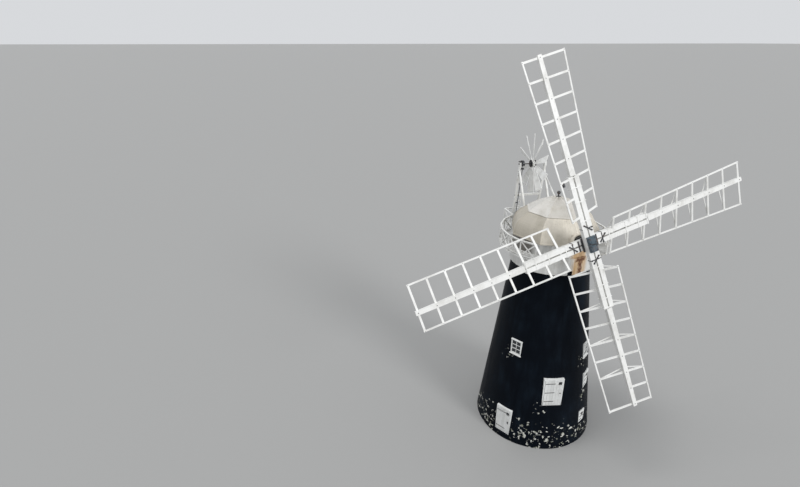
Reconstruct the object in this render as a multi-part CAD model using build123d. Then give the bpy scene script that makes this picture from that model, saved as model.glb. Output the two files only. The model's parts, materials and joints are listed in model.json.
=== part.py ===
from math import atan2, cos, degrees, radians, sin
import os

from build123d import *

# A brick tower windmill: tapered round tower, faceted dome cap with a gallery,
# four lattice sails on a tilted shaft, and a small fan wheel behind the cap.
# Millimetres. +Z is up, the origin is the centre of the tower's foot and the sails face -Y.
# An azimuth is measured at the tower's axis, from -Y towards +X.

# Tower wall
base_radius = 3700
top_radius = 2240
tower_height = 11850
foot_wall_thickness = 550
top_wall_thickness = 400
ground_storey_top = 2800
middle_storey_top = 5300

# Floors
ground_floor_level = 300
first_floor_level = 2980
second_floor_level = 5420
floor_thickness = 120
floor_clearance = 10

# Ground door, hung on its left jamb
ground_door_azimuth = -57.5
ground_door_width = 1060
ground_door_height = 1890
door_frame_width = 70
door_frame_depth = 280
door_leaf_thickness = 45
door_leaf_gap = 8
door_ledge_thickness = 30
door_ledge_height = 110
door_ledge_inset = 30
hinge_pin_radius = 12
hinge_pin_clearance = 2
hinge_strap_length = 620
hinge_strap_height = 50
hinge_strap_thickness = 8
hatch_window_size = 150

# Doors that stay shut, with their sills measured from the floor below them
loading_door_azimuth = -9.5
loading_door_sill = 30
loading_door_width = 1220
loading_door_height = 1940
side_door_azimuth = 40.5
side_door_sill = 500
side_door_width = 820
side_door_height = 1120
low_hatch_azimuth = 31.5
low_hatch_sill = 900
low_hatch_width = 620
low_hatch_height = 860
shut_leaf_setback = 10

# Windows, with their sills measured from the floor below them
window_width = 700
window_height = 950
left_window_azimuth = -57.0
left_window_sill = 580
right_window_azimuth = 38.5
right_window_sill = 340
back_window_azimuth = 150.0
upper_back_window_sill = 480
middle_back_window_sill = 620
ground_back_window_sill = 850
window_frame_width = 60
window_frame_depth = 200
window_proud = 40
glazing_bar_width = 26
glazing_bar_depth = 40
pane_thickness = 6

# Petticoat, which hangs outside the top of the wall
petticoat_drop = 350
petticoat_wall_gap = 107
petticoat_thickness = 30
petticoat_sheer_gap = 10
petticoat_notch_width = 300
petticoat_notch_height = 240
petticoat_notch_azimuth = -2

# Curb and cap frame
curb_height = 150
curb_width = 450
cap_clearance = 8
centring_ring_height = 150
centring_ring_inset = 60
centring_ring_setback = 10
sheer_spacing = 1700
sheer_width = 240
sheer_height = 290
sheer_end_gap = 30
weather_beam_setback = 400
weather_beam_depth = 380
weather_beam_height = 480
weather_beam_half_length = 1000
tail_beam_inset = 1030
tail_beam_depth = 300
neck_bearing_width = 620
tail_bearing_width = 420
journal_clearance = 2
cap_ring_width = 190
cap_ring_height = 60

# Cap wall and roof
cap_wall_height = 792
cap_wall_inset = 60
cap_wall_thickness = 40
wall_plate_thickness = 40
eaves_overhang = 160
roof_height = 2100
roof_thickness = 60
roof_lead = 50
shaft_hole_radius = 300

# Roof rings from the eaves up: share of the roof's height and of the eaves' radius
roof_rings = [
    (0.0, 1.0),
    (0.214, 0.972),
    (0.405, 0.895),
    (0.629, 0.665),
    (0.85, 0.385),
    (1.0, 0.055),
]

# Finial on the roof
finial_base_height = 90
finial_stem_radius = 35
finial_ball_radius = 105
finial_ball_height = 260

# Gallery
gallery_gap = 120
gallery_width = 610
gallery_end_azimuth = 45
gallery_deck_thickness = 50
gallery_bays = 6
gallery_rail_height = 950
gallery_post_size = 60
gallery_rail_size = 60
gallery_brace_size = 36
gallery_toe_gap = 90
gallery_bracket_inset = 126
gallery_bracket_drop = 420
gallery_bracket_thickness = 60

# Fan stage, with places measured from its back edge and its deck
platform_reach = 1000
fan_stage_half_width = 1420
sheer_back_inset = 70
fan_axle_inset = 670
fan_axle_above_deck = 4052
fan_post_size = 130
fan_post_foot_inset = 170
fan_brace_size = 110
fan_brace_foot_inset = 857
fan_brace_head_share = 0.93
roof_brace_gap = 12
fan_crossbeam_above_deck = 1952
fan_crossbeam_spacing = 1300
fan_crossbeam_size = 120
fan_bearing_depth = 220
fan_bearing_height = 260
fan_bearing_drop = 20

# Fan wheel and its axle
fan_blade_count = 10
fan_first_blade = -3
fan_radius = 1850
fan_blade_root_radius = 420
fan_blade_root_width = 230
fan_blade_tip_width = 520
fan_blade_thickness = 26
fan_blade_pitch = 25
fan_hub_radius = 150
fan_hub_length = 240
fan_hub_plate_radius = 225
fan_hub_plate_thickness = 20
fan_spar_size = 50
fan_spar_length = 1050
fan_axle_radius = 35
fan_axle_overhang = 110
fan_bearing_clearance = 6
fan_gear_radius = 170
fan_gear_small_radius = 115
fan_gear_length = 90
fan_gear_gap = 35
fan_collar_radius = 75
fan_collar_length = 140

# Sails
shaft_tilt = 14.014
hub_ahead_of_cap = 1137
hub_above_curb = 1922
sail_angle = 106.8
pair_offset = 175
stock_half_length = 3700
stock_member_width = 250
stock_member_depth = 280
stock_gap = 80
scarf_start = 2400
scarf_end_gap = 20
scarf_side_gap = 5
whip_end = 9850
whip_root_width = 300
whip_tip_width = 220
whip_tip_depth = 180
bar_count = 9
first_bar = 1571
bar_spacing = 1017.6
bar_width = 110
bar_thickness = 50
leading_width = 1003
trailing_width = 1481.5
heel_weather = 28.4
tip_weather = 7.3
sail_rail_width = 80
sail_rail_thickness = 60
sail_rail_overhang = 15
missing_bar_sail = "bottom"
missing_bar_index = 7
missing_bar_stub = 75

# Windshaft and its poll end
shaft_radius = 170
neck_radius = 200
neck_length = 420
tail_radius = 110
tail_length = 400
tail_overhang = 30
poll_block_width = 440
poll_block_height = 840
poll_block_thickness = 140
poll_plate_size = 760
poll_flange_thickness = 90
poll_core_gap = 5

sail_names = ["top", "left", "bottom", "right"]


def polar(azimuth, radius, z=0.0):
    """The point at an azimuth and a radius from the tower's axis."""
    return Vector(radius * sin(radians(azimuth)), -radius * cos(radians(azimuth)), z)


def wall_outer_radius(z):
    return base_radius + (top_radius - base_radius) * z / tower_height


def wall_inner_radius(z):
    foot = base_radius - foot_wall_thickness
    top = top_radius - top_wall_thickness
    return foot + (top - foot) * z / tower_height


# Levels and radii that follow from the sizes above

petticoat_bottom_z = tower_height - petticoat_drop
petticoat_inner_radius = wall_outer_radius(petticoat_bottom_z) + petticoat_wall_gap
petticoat_radius = petticoat_inner_radius + petticoat_thickness

curb_top_z = tower_height + curb_height
curb_inner_radius = top_radius - curb_width
frame_bottom_z = curb_top_z + cap_clearance
sheer_bottom_z = frame_bottom_z + centring_ring_height
sheer_top_z = sheer_bottom_z + sheer_height
cap_ring_top_z = sheer_top_z + cap_ring_height
eaves_z = cap_ring_top_z + cap_wall_height

centring_ring_outer_radius = petticoat_inner_radius - centring_ring_inset
centring_ring_inner_radius = curb_inner_radius + centring_ring_setback
cap_wall_radius = petticoat_inner_radius - cap_wall_inset
eaves_radius = petticoat_radius + eaves_overhang

gallery_inner_radius = petticoat_radius + gallery_gap
gallery_outer_radius = gallery_inner_radius + gallery_width
deck_bottom_z = sheer_top_z
deck_top_z = deck_bottom_z + gallery_deck_thickness
fan_stage_back_y = gallery_outer_radius + platform_reach

sheer_outer_x = (sheer_spacing + sheer_width) / 2
sheer_front_y = -(((petticoat_inner_radius - sheer_end_gap) ** 2 - sheer_outer_x**2) ** 0.5)
sheer_back_y = fan_stage_back_y - sheer_back_inset
weather_beam_y = sheer_front_y + weather_beam_setback
tail_beam_y = cap_wall_radius - tail_beam_inset
shaft_tail_y = tail_beam_y + tail_beam_depth / 2 + tail_overhang

fan_frame_x = sheer_spacing / 2
fan_axle_y = fan_stage_back_y - fan_axle_inset
fan_axle_z = deck_top_z + fan_axle_above_deck
fan_post_foot_y = fan_stage_back_y - fan_post_foot_inset
fan_brace_foot_y = cap_wall_radius - fan_brace_foot_inset
fan_axle_half_length = fan_frame_x + fan_axle_overhang

hub_y = -(petticoat_radius + hub_ahead_of_cap)
hub_z = curb_top_z + hub_above_curb

# Every door that stays shut and every window: azimuth, sill level, width and height
shut_doors = [
    (loading_door_azimuth, first_floor_level + loading_door_sill, loading_door_width, loading_door_height),
    (side_door_azimuth, first_floor_level + side_door_sill, side_door_width, side_door_height),
    (low_hatch_azimuth, ground_floor_level + low_hatch_sill, low_hatch_width, low_hatch_height),
]
window_places = [
    (left_window_azimuth, second_floor_level + left_window_sill),
    (right_window_azimuth, second_floor_level + right_window_sill),
    (back_window_azimuth, second_floor_level + upper_back_window_sill),
    (back_window_azimuth, first_floor_level + middle_back_window_sill),
    (back_window_azimuth, ground_floor_level + ground_back_window_sill),
]
windows = [(azimuth, sill, window_width, window_height) for azimuth, sill in window_places]


def cone_between(radius_at, z0, z1):
    """A solid frustum whose radius follows the given rule."""
    frustum = Cone(radius_at(z0), radius_at(z1), z1 - z0, align=(Align.CENTER, Align.CENTER, Align.MIN))
    return Pos(0, 0, z0) * frustum


def wedge(azimuth_0, azimuth_1, z0, z1, reach=2 * base_radius):
    """A tall wedge from the axis outwards between two azimuths."""
    middle = (azimuth_0 + azimuth_1) / 2
    corners = [Vector(0, 0, z0)]
    corners += [polar(a, reach, z0) for a in (azimuth_0, middle, azimuth_1)]
    face = Face(Wire.make_polygon(corners, close=True))
    return extrude(face, amount=z1 - z0, dir=(0, 0, 1))


def radial_box(azimuth, width, r0, r1, z0, z1):
    """A box whose middle plane holds the tower's axis, from one radius to another."""
    box = Box(width, r1 - r0, z1 - z0)
    return Rot(0, 0, azimuth) * Pos(0, -(r0 + r1) / 2, (z0 + z1) / 2) * box


def bar_between(start, end, width, thickness, side):
    """A square-cut bar from one point to another; side is the direction of its width."""
    start, end = Vector(*start), Vector(*end)
    along = (end - start).normalized()
    across = (side - along * side.dot(along)).normalized()
    plane = Plane(origin=start, x_dir=across, z_dir=along)
    section = plane * Rectangle(width, thickness)
    return extrude(section, amount=(end - start).length, dir=along)


def one_solid(shape):
    """The single solid of a shape, or the shape where it has several."""
    solids = shape.solids()
    return solids[0] if len(solids) == 1 else Compound(children=list(solids))


# Tower wall


def opening_cut(azimuth, sill, width, height):
    reach = base_radius + foot_wall_thickness
    return radial_box(azimuth, width, top_radius / 2, reach, sill, sill + height)


def wall_segment(azimuth_0, azimuth_1, z0, z1, cuts):
    outer = cone_between(wall_outer_radius, z0, z1)
    inner = cone_between(wall_inner_radius, z0, z1)
    segment = (outer - inner) & wedge(azimuth_0, azimuth_1, z0, z1)
    for cut in cuts:
        segment = segment - cut
    return one_solid(segment)


def wall_parts():
    """Three storeys of wall, each in segments whose joints miss the openings."""
    openings = [opening_cut(*o) for o in shut_doors + windows]
    doorway = opening_cut(ground_door_azimuth, 0, ground_door_width, ground_storey_top)
    door = ground_door_azimuth
    storeys = {
        "ground_wall": (0, ground_storey_top, [door, 10, 95, 200, door + 360]),
        "middle_wall": (ground_storey_top, middle_storey_top, [-90, 20, 130, 270]),
        "upper_wall": (middle_storey_top, tower_height, [-100, 10, 125, 260]),
    }
    sides = ["front", "right", "back", "left"]
    parts = {}
    for name, (z0, z1, joints) in storeys.items():
        cuts = openings + ([doorway] if name == "ground_wall" else [])
        for side, a0, a1 in zip(sides, joints, joints[1:]):
            parts[f"{name}_{side}"] = wall_segment(a0, a1, z0, z1, cuts)
    door_top = ground_floor_level + ground_door_height
    parts["ground_door_sill"] = wall_in_doorway(doorway, 0, ground_floor_level)
    parts["ground_door_lintel"] = wall_in_doorway(doorway, door_top, ground_storey_top)
    return parts


def wall_in_doorway(doorway, z0, z1):
    """The wall that fills the doorway's width between two levels."""
    ring = cone_between(wall_outer_radius, z0, z1) - cone_between(wall_inner_radius, z0, z1)
    return one_solid(ring & doorway)


def floor_disc(level, thickness):
    """A round floor that fits inside the wall at its underside's level."""
    radius = wall_inner_radius(level) - floor_clearance
    disc = Cylinder(radius, thickness, align=(Align.CENTER, Align.CENTER, Align.MAX))
    return Pos(0, 0, level) * disc


# Doors and windows


def door_plane_radius(z0, z1):
    """The distance from the axis to the face of a frame set upright in the sloping wall."""
    return wall_outer_radius((z0 + z1) / 2)


def frame_box(width, height, depth, member):
    """An upright open frame about the origin, its front face at y 0."""
    outer = Box(width, depth, height)
    inner = Box(width - 2 * member, 2 * depth, height - 2 * member)
    return Pos(0, depth / 2, 0) * (outer - inner)


def at_wall(azimuth, face_radius, z):
    return Rot(0, 0, azimuth) * Pos(0, -face_radius, z)


def ground_door_frame():
    middle = ground_floor_level + ground_door_height / 2
    radius = door_plane_radius(ground_floor_level, ground_floor_level + ground_door_height)
    frame = frame_box(ground_door_width, ground_door_height, door_frame_depth, door_frame_width)
    return at_wall(ground_door_azimuth, radius, middle) * frame


def door_leaf(width, height):
    """A boarded leaf with ledges behind and a small square light, its face at y 0."""
    leaf = Pos(0, door_leaf_thickness / 2, 0) * Box(width, door_leaf_thickness, height)
    light_x = width / 2 - hatch_window_size
    light_z = height / 2 - 1.6 * hatch_window_size
    leaf -= Pos(light_x, 0, light_z) * Box(hatch_window_size, 4 * door_leaf_thickness, hatch_window_size)
    for share in (-0.36, 0.0, 0.36):
        ledge = Box(width - 2 * door_ledge_inset, door_ledge_thickness, door_ledge_height)
        ledge_y = door_leaf_thickness + door_ledge_thickness / 2
        leaf += Pos(0, ledge_y, share * height) * ledge
    return leaf


def ground_door_leaf_size():
    width = ground_door_width - 2 * door_frame_width - 2 * door_leaf_gap
    height = ground_door_height - 2 * door_frame_width - 2 * door_leaf_gap
    return width, height


def ground_door_parts():
    """The hung leaf, and its straps with the pins that they turn on."""
    width, height = ground_door_leaf_size()
    middle = ground_floor_level + ground_door_height / 2
    radius = door_plane_radius(ground_floor_level, ground_floor_level + ground_door_height)
    place = at_wall(ground_door_azimuth, radius, middle)
    leaf = place * door_leaf(width, height)
    straps = []
    for share in (-0.36, 0.36):
        strap = Pos(
            -width / 2 + hinge_strap_length / 2,
            -hinge_strap_thickness / 2,
            share * height,
        ) * Box(hinge_strap_length, hinge_strap_thickness, hinge_strap_height)
        pin_y = -hinge_pin_radius - hinge_pin_clearance
        pin = Pos(-width / 2, pin_y, share * height) * Cylinder(hinge_pin_radius, 1.6 * hinge_strap_height)
        straps.append(place * (strap + pin))
    return {"ground_door": one_solid(leaf), "ground_door_straps": Compound(children=straps)}


def shut_door_parts():
    """Frames and boarded leaves of the doors that stay shut."""
    frames = []
    leaves = []
    for azimuth, sill, width, height in shut_doors:
        middle = sill + height / 2
        place = at_wall(azimuth, door_plane_radius(sill, sill + height), middle)
        frames.append(place * frame_box(width, height, door_frame_depth, door_frame_width))
        inner_width = width - 2 * door_frame_width
        inner_height = height - 2 * door_frame_width
        leaves.append(place * Pos(0, shut_leaf_setback, 0) * door_leaf(inner_width, inner_height))
    return {
        "shut_door_frames": Compound(children=[one_solid(f) for f in frames]),
        "shut_door_leaves": Compound(children=[one_solid(v) for v in leaves]),
    }


def window_parts():
    """Box frames that stand proud of the wall, with two columns of three panes."""
    frames = []
    panes = []
    for azimuth, sill, width, height in windows:
        middle = sill + height / 2
        radius = door_plane_radius(sill, sill + height) + window_proud
        place = at_wall(azimuth, radius, middle)
        frame = frame_box(width, height, window_frame_depth, window_frame_width)
        inner_width = width - 2 * window_frame_width
        inner_height = height - 2 * window_frame_width
        bar_y = window_proud
        upright = Box(glazing_bar_width, glazing_bar_depth, inner_height)
        frame += Pos(0, bar_y, 0) * upright
        for share in (-1 / 6, 1 / 6):
            rung = Box(inner_width, glazing_bar_depth, glazing_bar_width)
            frame += Pos(0, bar_y, share * inner_height) * rung
        frames.append(place * frame)
        pane_y = bar_y + glazing_bar_depth / 2 + pane_thickness / 2
        panes.append(place * Pos(0, pane_y, 0) * Box(inner_width, pane_thickness, inner_height))
    return {
        "window_frames": Compound(children=[one_solid(f) for f in frames]),
        "window_panes": Compound(children=[one_solid(p) for p in panes]),
    }


# Curb and cap frame


def tube(outer, inner, z0, z1):
    height = z1 - z0
    low = (Align.CENTER, Align.CENTER, Align.MIN)
    return Pos(0, 0, z0) * (Cylinder(outer, height, align=low) - Cylinder(inner, height, align=low))


def shaft_z_at(y):
    """The height of the windshaft's axis where it passes a given y."""
    return hub_z + (hub_y - y) * sin(radians(shaft_tilt)) / cos(radians(shaft_tilt))


def cap_frame():
    """Centring ring, two long sheers and the cross beams, joined as one frame."""
    frame = tube(centring_ring_outer_radius, centring_ring_inner_radius, frame_bottom_z, sheer_bottom_z)
    sheer_length = sheer_back_y - sheer_front_y
    for side in (-1, 1):
        sheer = Box(sheer_width, sheer_length, sheer_height)
        middle_y = (sheer_back_y + sheer_front_y) / 2
        frame += Pos(side * sheer_spacing / 2, middle_y, sheer_bottom_z + sheer_height / 2) * sheer
    tail_beam = Box(sheer_spacing, tail_beam_depth, sheer_height)
    frame += Pos(0, tail_beam_y, sheer_bottom_z + sheer_height / 2) * tail_beam
    weather_beam = Box(2 * weather_beam_half_length, weather_beam_depth, weather_beam_height)
    frame += Pos(0, weather_beam_y, sheer_top_z + weather_beam_height / 2) * weather_beam
    return one_solid(frame)


def bearing_block(y, width, depth, z0, radius):
    """A block on its beam with a half-round seat for the tilted shaft."""
    top = shaft_z_at(y)
    block = Pos(0, y, (z0 + top) / 2) * Box(width, depth, top - z0)
    return block - shaft_cylinder(radius + journal_clearance, y - depth, y + depth)


def shaft_point(distance):
    """A point on the windshaft's axis, measured forwards from the hub."""
    tilt = radians(shaft_tilt)
    return Vector(0, hub_y - distance * cos(tilt), hub_z + distance * sin(tilt))


def shaft_cylinder(radius, y_front, y_back):
    """A cylinder on the windshaft's axis between two y values."""
    tilt = radians(shaft_tilt)
    d0 = (hub_y - y_back) / cos(tilt)
    d1 = (hub_y - y_front) / cos(tilt)
    axis = shaft_point(1) - shaft_point(0)
    plane = Plane(origin=shaft_point(d0), z_dir=axis)
    return extrude(plane * Circle(radius), amount=d1 - d0, dir=axis)


def bearing_parts():
    neck = bearing_block(
        weather_beam_y,
        neck_bearing_width,
        weather_beam_depth,
        sheer_top_z + weather_beam_height,
        neck_radius,
    )
    tail = bearing_block(tail_beam_y, tail_bearing_width, tail_beam_depth, sheer_top_z, tail_radius)
    return {"shaft_bearings": Compound(children=[one_solid(neck), one_solid(tail)])}


# Cap wall, roof and petticoat


def eight_corners(z, radius):
    """The corners of an eight-sided ring, two of them on the line from front to back."""
    return [polar(45 * k, radius, z) - Vector(0, roof_lead, 0) for k in range(8)]


def flat_face(corners):
    return Face(Wire.make_polygon(corners, close=True))


def dome(rings):
    """A closed solid of flat facets through stacked eight-sided rings."""
    loops = [eight_corners(z, radius) for z, radius in rings]
    faces = [flat_face(loops[0]), flat_face(loops[-1])]
    for low, high in zip(loops, loops[1:]):
        for k in range(8):
            after = (k + 1) % 8
            faces.append(flat_face([low[k], low[after], high[after], high[k]]))
    return Solid(Shell(faces))


def roof_parts():
    """Left and right halves of the boarded dome, open round the windshaft."""
    outer_rings = [(eaves_z + h * roof_height, r * eaves_radius) for h, r in roof_rings]
    inner_rings = [(z - roof_thickness, r - roof_thickness) for z, r in outer_rings]
    shell = dome(outer_rings) - dome(inner_rings)
    shell -= shaft_cylinder(shaft_hole_radius, 2 * sheer_front_y, weather_beam_y)
    for side in (-1, 1):
        shell -= fan_brace(side, fan_brace_size + 2 * roof_brace_gap)
    width, height = 2 * eaves_radius, 2 * roof_height
    half = Box(width, 2 * width, 2 * height, align=(Align.MAX, Align.CENTER, Align.CENTER))
    left = shell & (Pos(0, 0, eaves_z) * half)
    right = shell - (Pos(0, 0, eaves_z) * half)
    return {"cap_roof_left": one_solid(left), "cap_roof_right": one_solid(right)}


def cap_wall():
    """The low round wall on the cap ring, and the eight-sided plate that carries the roof."""
    inner_radius = cap_wall_radius - cap_wall_thickness
    plate_bottom = eaves_z - wall_plate_thickness
    wall = tube(cap_wall_radius, inner_radius, cap_ring_top_z, plate_bottom)
    plate = extrude(
        flat_face(eight_corners(plate_bottom, eaves_radius)),
        amount=wall_plate_thickness,
        dir=(0, 0, 1),
    )
    wall += plate - Pos(0, 0, plate_bottom) * Cylinder(inner_radius, 4 * wall_plate_thickness)
    for side in (-1, 1):
        wall -= fan_brace(side, fan_brace_size + 2 * roof_brace_gap)
    return one_solid(wall)


def cap_finial():
    """A turned ball on a stem, on the flat top of the roof."""
    low = (Align.CENTER, Align.CENTER, Align.MIN)
    foot_radius = 0.9 * roof_rings[-1][1] * eaves_radius
    finial = Cone(foot_radius, finial_stem_radius, finial_base_height, align=low)
    finial += Cylinder(finial_stem_radius, finial_ball_height, align=low)
    finial += Pos(0, 0, finial_ball_height) * Sphere(finial_ball_radius)
    return one_solid(Pos(0, -roof_lead, eaves_z + roof_height) * finial)


def petticoat():
    """The skirt of boards that hangs outside the curb, with its broken corner."""
    skirt = tube(petticoat_radius, petticoat_inner_radius, petticoat_bottom_z, cap_ring_top_z)
    for side in (-1, 1):
        slot_width = sheer_width + 2 * petticoat_sheer_gap
        slot_height = cap_ring_top_z - sheer_bottom_z + petticoat_sheer_gap
        slot = Box(slot_width, petticoat_radius, slot_height)
        slot_z = cap_ring_top_z - slot_height / 2
        skirt -= Pos(side * sheer_spacing / 2, petticoat_radius, slot_z) * slot
    notch = radial_box(
        petticoat_notch_azimuth,
        petticoat_notch_width,
        0.9 * petticoat_radius,
        1.1 * petticoat_radius,
        petticoat_bottom_z - petticoat_notch_height,
        petticoat_bottom_z + petticoat_notch_height,
    )
    return one_solid(skirt - notch)


# Gallery


def gallery_azimuths(side):
    """The azimuths of the posts on one side, from the front end to the back platform."""
    back_azimuth = 180 - degrees(atan2(fan_stage_half_width, platform_join_y()))
    step = (back_azimuth - gallery_end_azimuth) / gallery_bays
    return [side * (gallery_end_azimuth + k * step) for k in range(gallery_bays + 1)]


def platform_join_y():
    """Where the straight sides of the back platform meet the round gallery."""
    return (gallery_outer_radius**2 - fan_stage_half_width**2) ** 0.5


def gallery_deck():
    """A flat walk of straight bays round the cap, and the platform behind it."""
    left = [polar(a, gallery_outer_radius) for a in gallery_azimuths(-1)]
    right = [polar(a, gallery_outer_radius) for a in gallery_azimuths(1)]
    back = [
        Vector(-fan_stage_half_width, fan_stage_back_y, 0),
        Vector(fan_stage_half_width, fan_stage_back_y, 0),
    ]
    inside = gallery_inner_radius / 2
    front = [polar(gallery_end_azimuth, inside), polar(-gallery_end_azimuth, inside)]
    outline = left + back + list(reversed(right)) + front
    face = Face(Wire.make_polygon([Vector(p.X, p.Y, deck_bottom_z) for p in outline], close=True))
    slab = extrude(face, amount=gallery_deck_thickness, dir=(0, 0, 1))
    hole = Cylinder(gallery_inner_radius, 4 * gallery_deck_thickness)
    return one_solid(slab - Pos(0, 0, deck_bottom_z) * hole)


def rail_panel(start, end):
    """One bay of railing: a top rail, a bottom rail and two crossed braces."""
    base = deck_top_z
    top = base + gallery_rail_height
    half = gallery_rail_size / 2
    side = Vector(0, 0, 1)
    toe = base + gallery_toe_gap
    low0, low1 = start + Vector(0, 0, toe), end + Vector(0, 0, toe)
    high0, high1 = start + Vector(0, 0, top - half), end + Vector(0, 0, top - half)
    panel = bar_between(high0, high1, gallery_rail_size, gallery_rail_size, side)
    panel += bar_between(low0, low1, gallery_brace_size, gallery_brace_size, side)
    panel += bar_between(low0, high1, gallery_brace_size, gallery_brace_size, side)
    panel += bar_between(low1, high0, gallery_brace_size, gallery_brace_size, side)
    return panel


def rail_run(points):
    """A railing along several points, with a post at each."""
    run = None
    for point in points:
        post = Pos(point.X, point.Y, deck_top_z) * Box(
            gallery_post_size,
            gallery_post_size,
            gallery_rail_height,
            align=(Align.CENTER, Align.CENTER, Align.MIN),
        )
        run = post if run is None else run + post
    for start, end in zip(points, points[1:]):
        run += rail_panel(start, end)
    return one_solid(run)


def gallery_parts():
    inset = gallery_outer_radius - gallery_post_size
    platform_x = fan_stage_half_width - gallery_post_size
    platform_y = fan_stage_back_y - gallery_post_size
    parts = {"gallery_deck": gallery_deck()}
    for name, side in (("left", -1), ("right", 1)):
        points = [polar(a, inset) for a in gallery_azimuths(side)]
        parts[f"gallery_rail_{name}"] = rail_run(points)
    start_gap = 1.5 * gallery_post_size
    join_y = polar(gallery_azimuths(1)[-1], inset).Y + start_gap
    back_points = [
        Vector(-platform_x, join_y, 0),
        Vector(-platform_x, platform_y, 0),
        Vector(0, platform_y, 0),
        Vector(platform_x, platform_y, 0),
        Vector(platform_x, join_y, 0),
    ]
    parts["platform_rail"] = rail_run(back_points)
    brackets = []
    for side in (-1, 1):
        for azimuth in gallery_azimuths(side)[:-1]:
            brackets.append(gallery_bracket(azimuth))
    parts["gallery_brackets"] = Compound(children=brackets)
    return parts


def gallery_bracket(azimuth):
    """A triangular knee under the deck, against the petticoat."""
    foot = petticoat_radius
    tip = gallery_outer_radius - gallery_bracket_inset
    corners = [
        polar(azimuth, foot, deck_bottom_z),
        polar(azimuth, tip, deck_bottom_z),
        polar(azimuth, foot, deck_bottom_z - gallery_bracket_drop),
    ]
    across = polar(azimuth + 90, 1)
    face = Face(Wire.make_polygon(corners, close=True))
    face = face.translate(across * (-gallery_bracket_thickness / 2))
    return one_solid(extrude(face, amount=gallery_bracket_thickness, dir=across))


# Fan stage and fan wheel


def fan_post_point(side, share):
    """A point on a post's middle line, from the deck at 0 to the axle's bearing at 1."""
    foot = Vector(side * fan_frame_x, fan_post_foot_y, deck_top_z)
    head = Vector(side * fan_frame_x, fan_axle_y, fan_axle_z - fan_post_size)
    return foot + (head - foot) * share


def standing_bar(foot, head, size):
    """A square bar that leans on its way up and is cut level at its foot."""
    along = (head - foot).normalized()
    bar = bar_between(foot - along * size, head, size, size, Vector(1, 0, 0))
    below = Box(4 * size, 4 * size, 4 * size, align=(Align.CENTER, Align.CENTER, Align.MAX))
    return bar - Pos(foot.X, foot.Y, foot.Z) * below


def fan_brace(side, size):
    """The brace from a sheer, through the roof, to the head of a post."""
    foot = Vector(side * fan_frame_x, fan_brace_foot_y, sheer_top_z)
    return standing_bar(foot, fan_post_point(side, fan_brace_head_share), size)


def fan_frame(side):
    """A post from the platform, a brace through the roof, and the axle's bearing."""
    frame = standing_bar(fan_post_point(side, 0), fan_post_point(side, 1), fan_post_size)
    frame += fan_brace(side, fan_brace_size)
    x = side * fan_frame_x
    bearing = Box(fan_post_size, fan_bearing_depth, fan_bearing_height)
    frame += Pos(x, fan_axle_y, fan_axle_z - fan_bearing_drop) * bearing
    bore = Cylinder(fan_axle_radius + fan_bearing_clearance, 4 * fan_post_size)
    return one_solid(frame - Pos(x, fan_axle_y, fan_axle_z) * Rot(0, 90, 0) * bore)


def fan_crossbeams():
    """The beams that tie the two fan frames together."""
    span = 2 * fan_frame_x - fan_post_size
    beams = []
    for height in (fan_crossbeam_above_deck, fan_crossbeam_above_deck - fan_crossbeam_spacing):
        y = fan_post_point(1, height / (fan_axle_above_deck - fan_post_size)).Y
        beam = Box(span, fan_crossbeam_size, fan_crossbeam_size)
        beams.append(Pos(0, y, deck_top_z + height) * beam)
    return Compound(children=[one_solid(b) for b in beams])


def fan_blade(index):
    """A pitched board that widens outwards, on a square spar."""
    blade = Polyline(
        (-fan_blade_root_width / 2, fan_blade_root_radius),
        (fan_blade_root_width / 2, fan_blade_root_radius),
        (fan_blade_tip_width / 2, fan_radius),
        (-fan_blade_tip_width / 2, fan_radius),
        close=True,
    )
    board = extrude(make_face(blade), amount=fan_blade_thickness / 2, both=True)
    spar = Pos(0, fan_spar_length / 2, 0) * Box(fan_spar_size, fan_spar_length, fan_spar_size)
    pitched = Rot(0, 90 - fan_blade_pitch, 0) * (board + spar)
    upright = Rot(90, 0, 0) * pitched
    return Rot(360 * index / fan_blade_count + fan_first_blade, 0, 0) * upright


def fan_wheel():
    """The hub with a plate on each face, and the blades on their spars."""
    wheel = Cylinder(fan_hub_radius, fan_hub_length)
    for side in (-1, 1):
        plate_z = side * (fan_hub_length + fan_hub_plate_thickness) / 2
        wheel += Pos(0, 0, plate_z) * Cylinder(fan_hub_plate_radius, fan_hub_plate_thickness)
    wheel = Rot(0, 90, 0) * wheel
    for index in range(fan_blade_count):
        wheel += fan_blade(index)
    axle_bore = Rot(0, 90, 0) * Cylinder(fan_axle_radius, 2 * fan_hub_length)
    return one_solid(Pos(0, fan_axle_y, fan_axle_z) * (wheel - axle_bore))


def fan_axle():
    """The axle with the bevel gear and collar that it carries beside the left bearing."""
    low = (Align.CENTER, Align.CENTER, Align.MIN)
    gear = Cone(fan_gear_radius, fan_gear_small_radius, fan_gear_length, align=low)
    gear += Cylinder(fan_collar_radius, fan_collar_length, align=low)
    gear_x = -fan_frame_x + fan_post_size / 2 + fan_gear_gap
    axle = Rot(0, 90, 0) * Cylinder(fan_axle_radius, 2 * fan_axle_half_length)
    axle += Pos(gear_x, 0, 0) * Rot(0, 90, 0) * gear
    return one_solid(Pos(0, fan_axle_y, fan_axle_z) * axle)


# Sails


def arm_frame(index):
    """The directions of one arm: outwards, towards its leading side, and forwards."""
    tilt = radians(shaft_tilt)
    angle = radians(sail_angle + 90 * index)
    right = Vector(1, 0, 0)
    up = Vector(0, sin(tilt), cos(tilt))
    forward = Vector(0, -cos(tilt), sin(tilt))
    outward = right * cos(angle) + up * sin(angle)
    return outward, forward.cross(outward), forward


def arm_point(index, along, across, ahead):
    outward, leading, forward = arm_frame(index)
    return Vector(0, hub_y, hub_z) + outward * along + leading * across + forward * ahead


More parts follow.
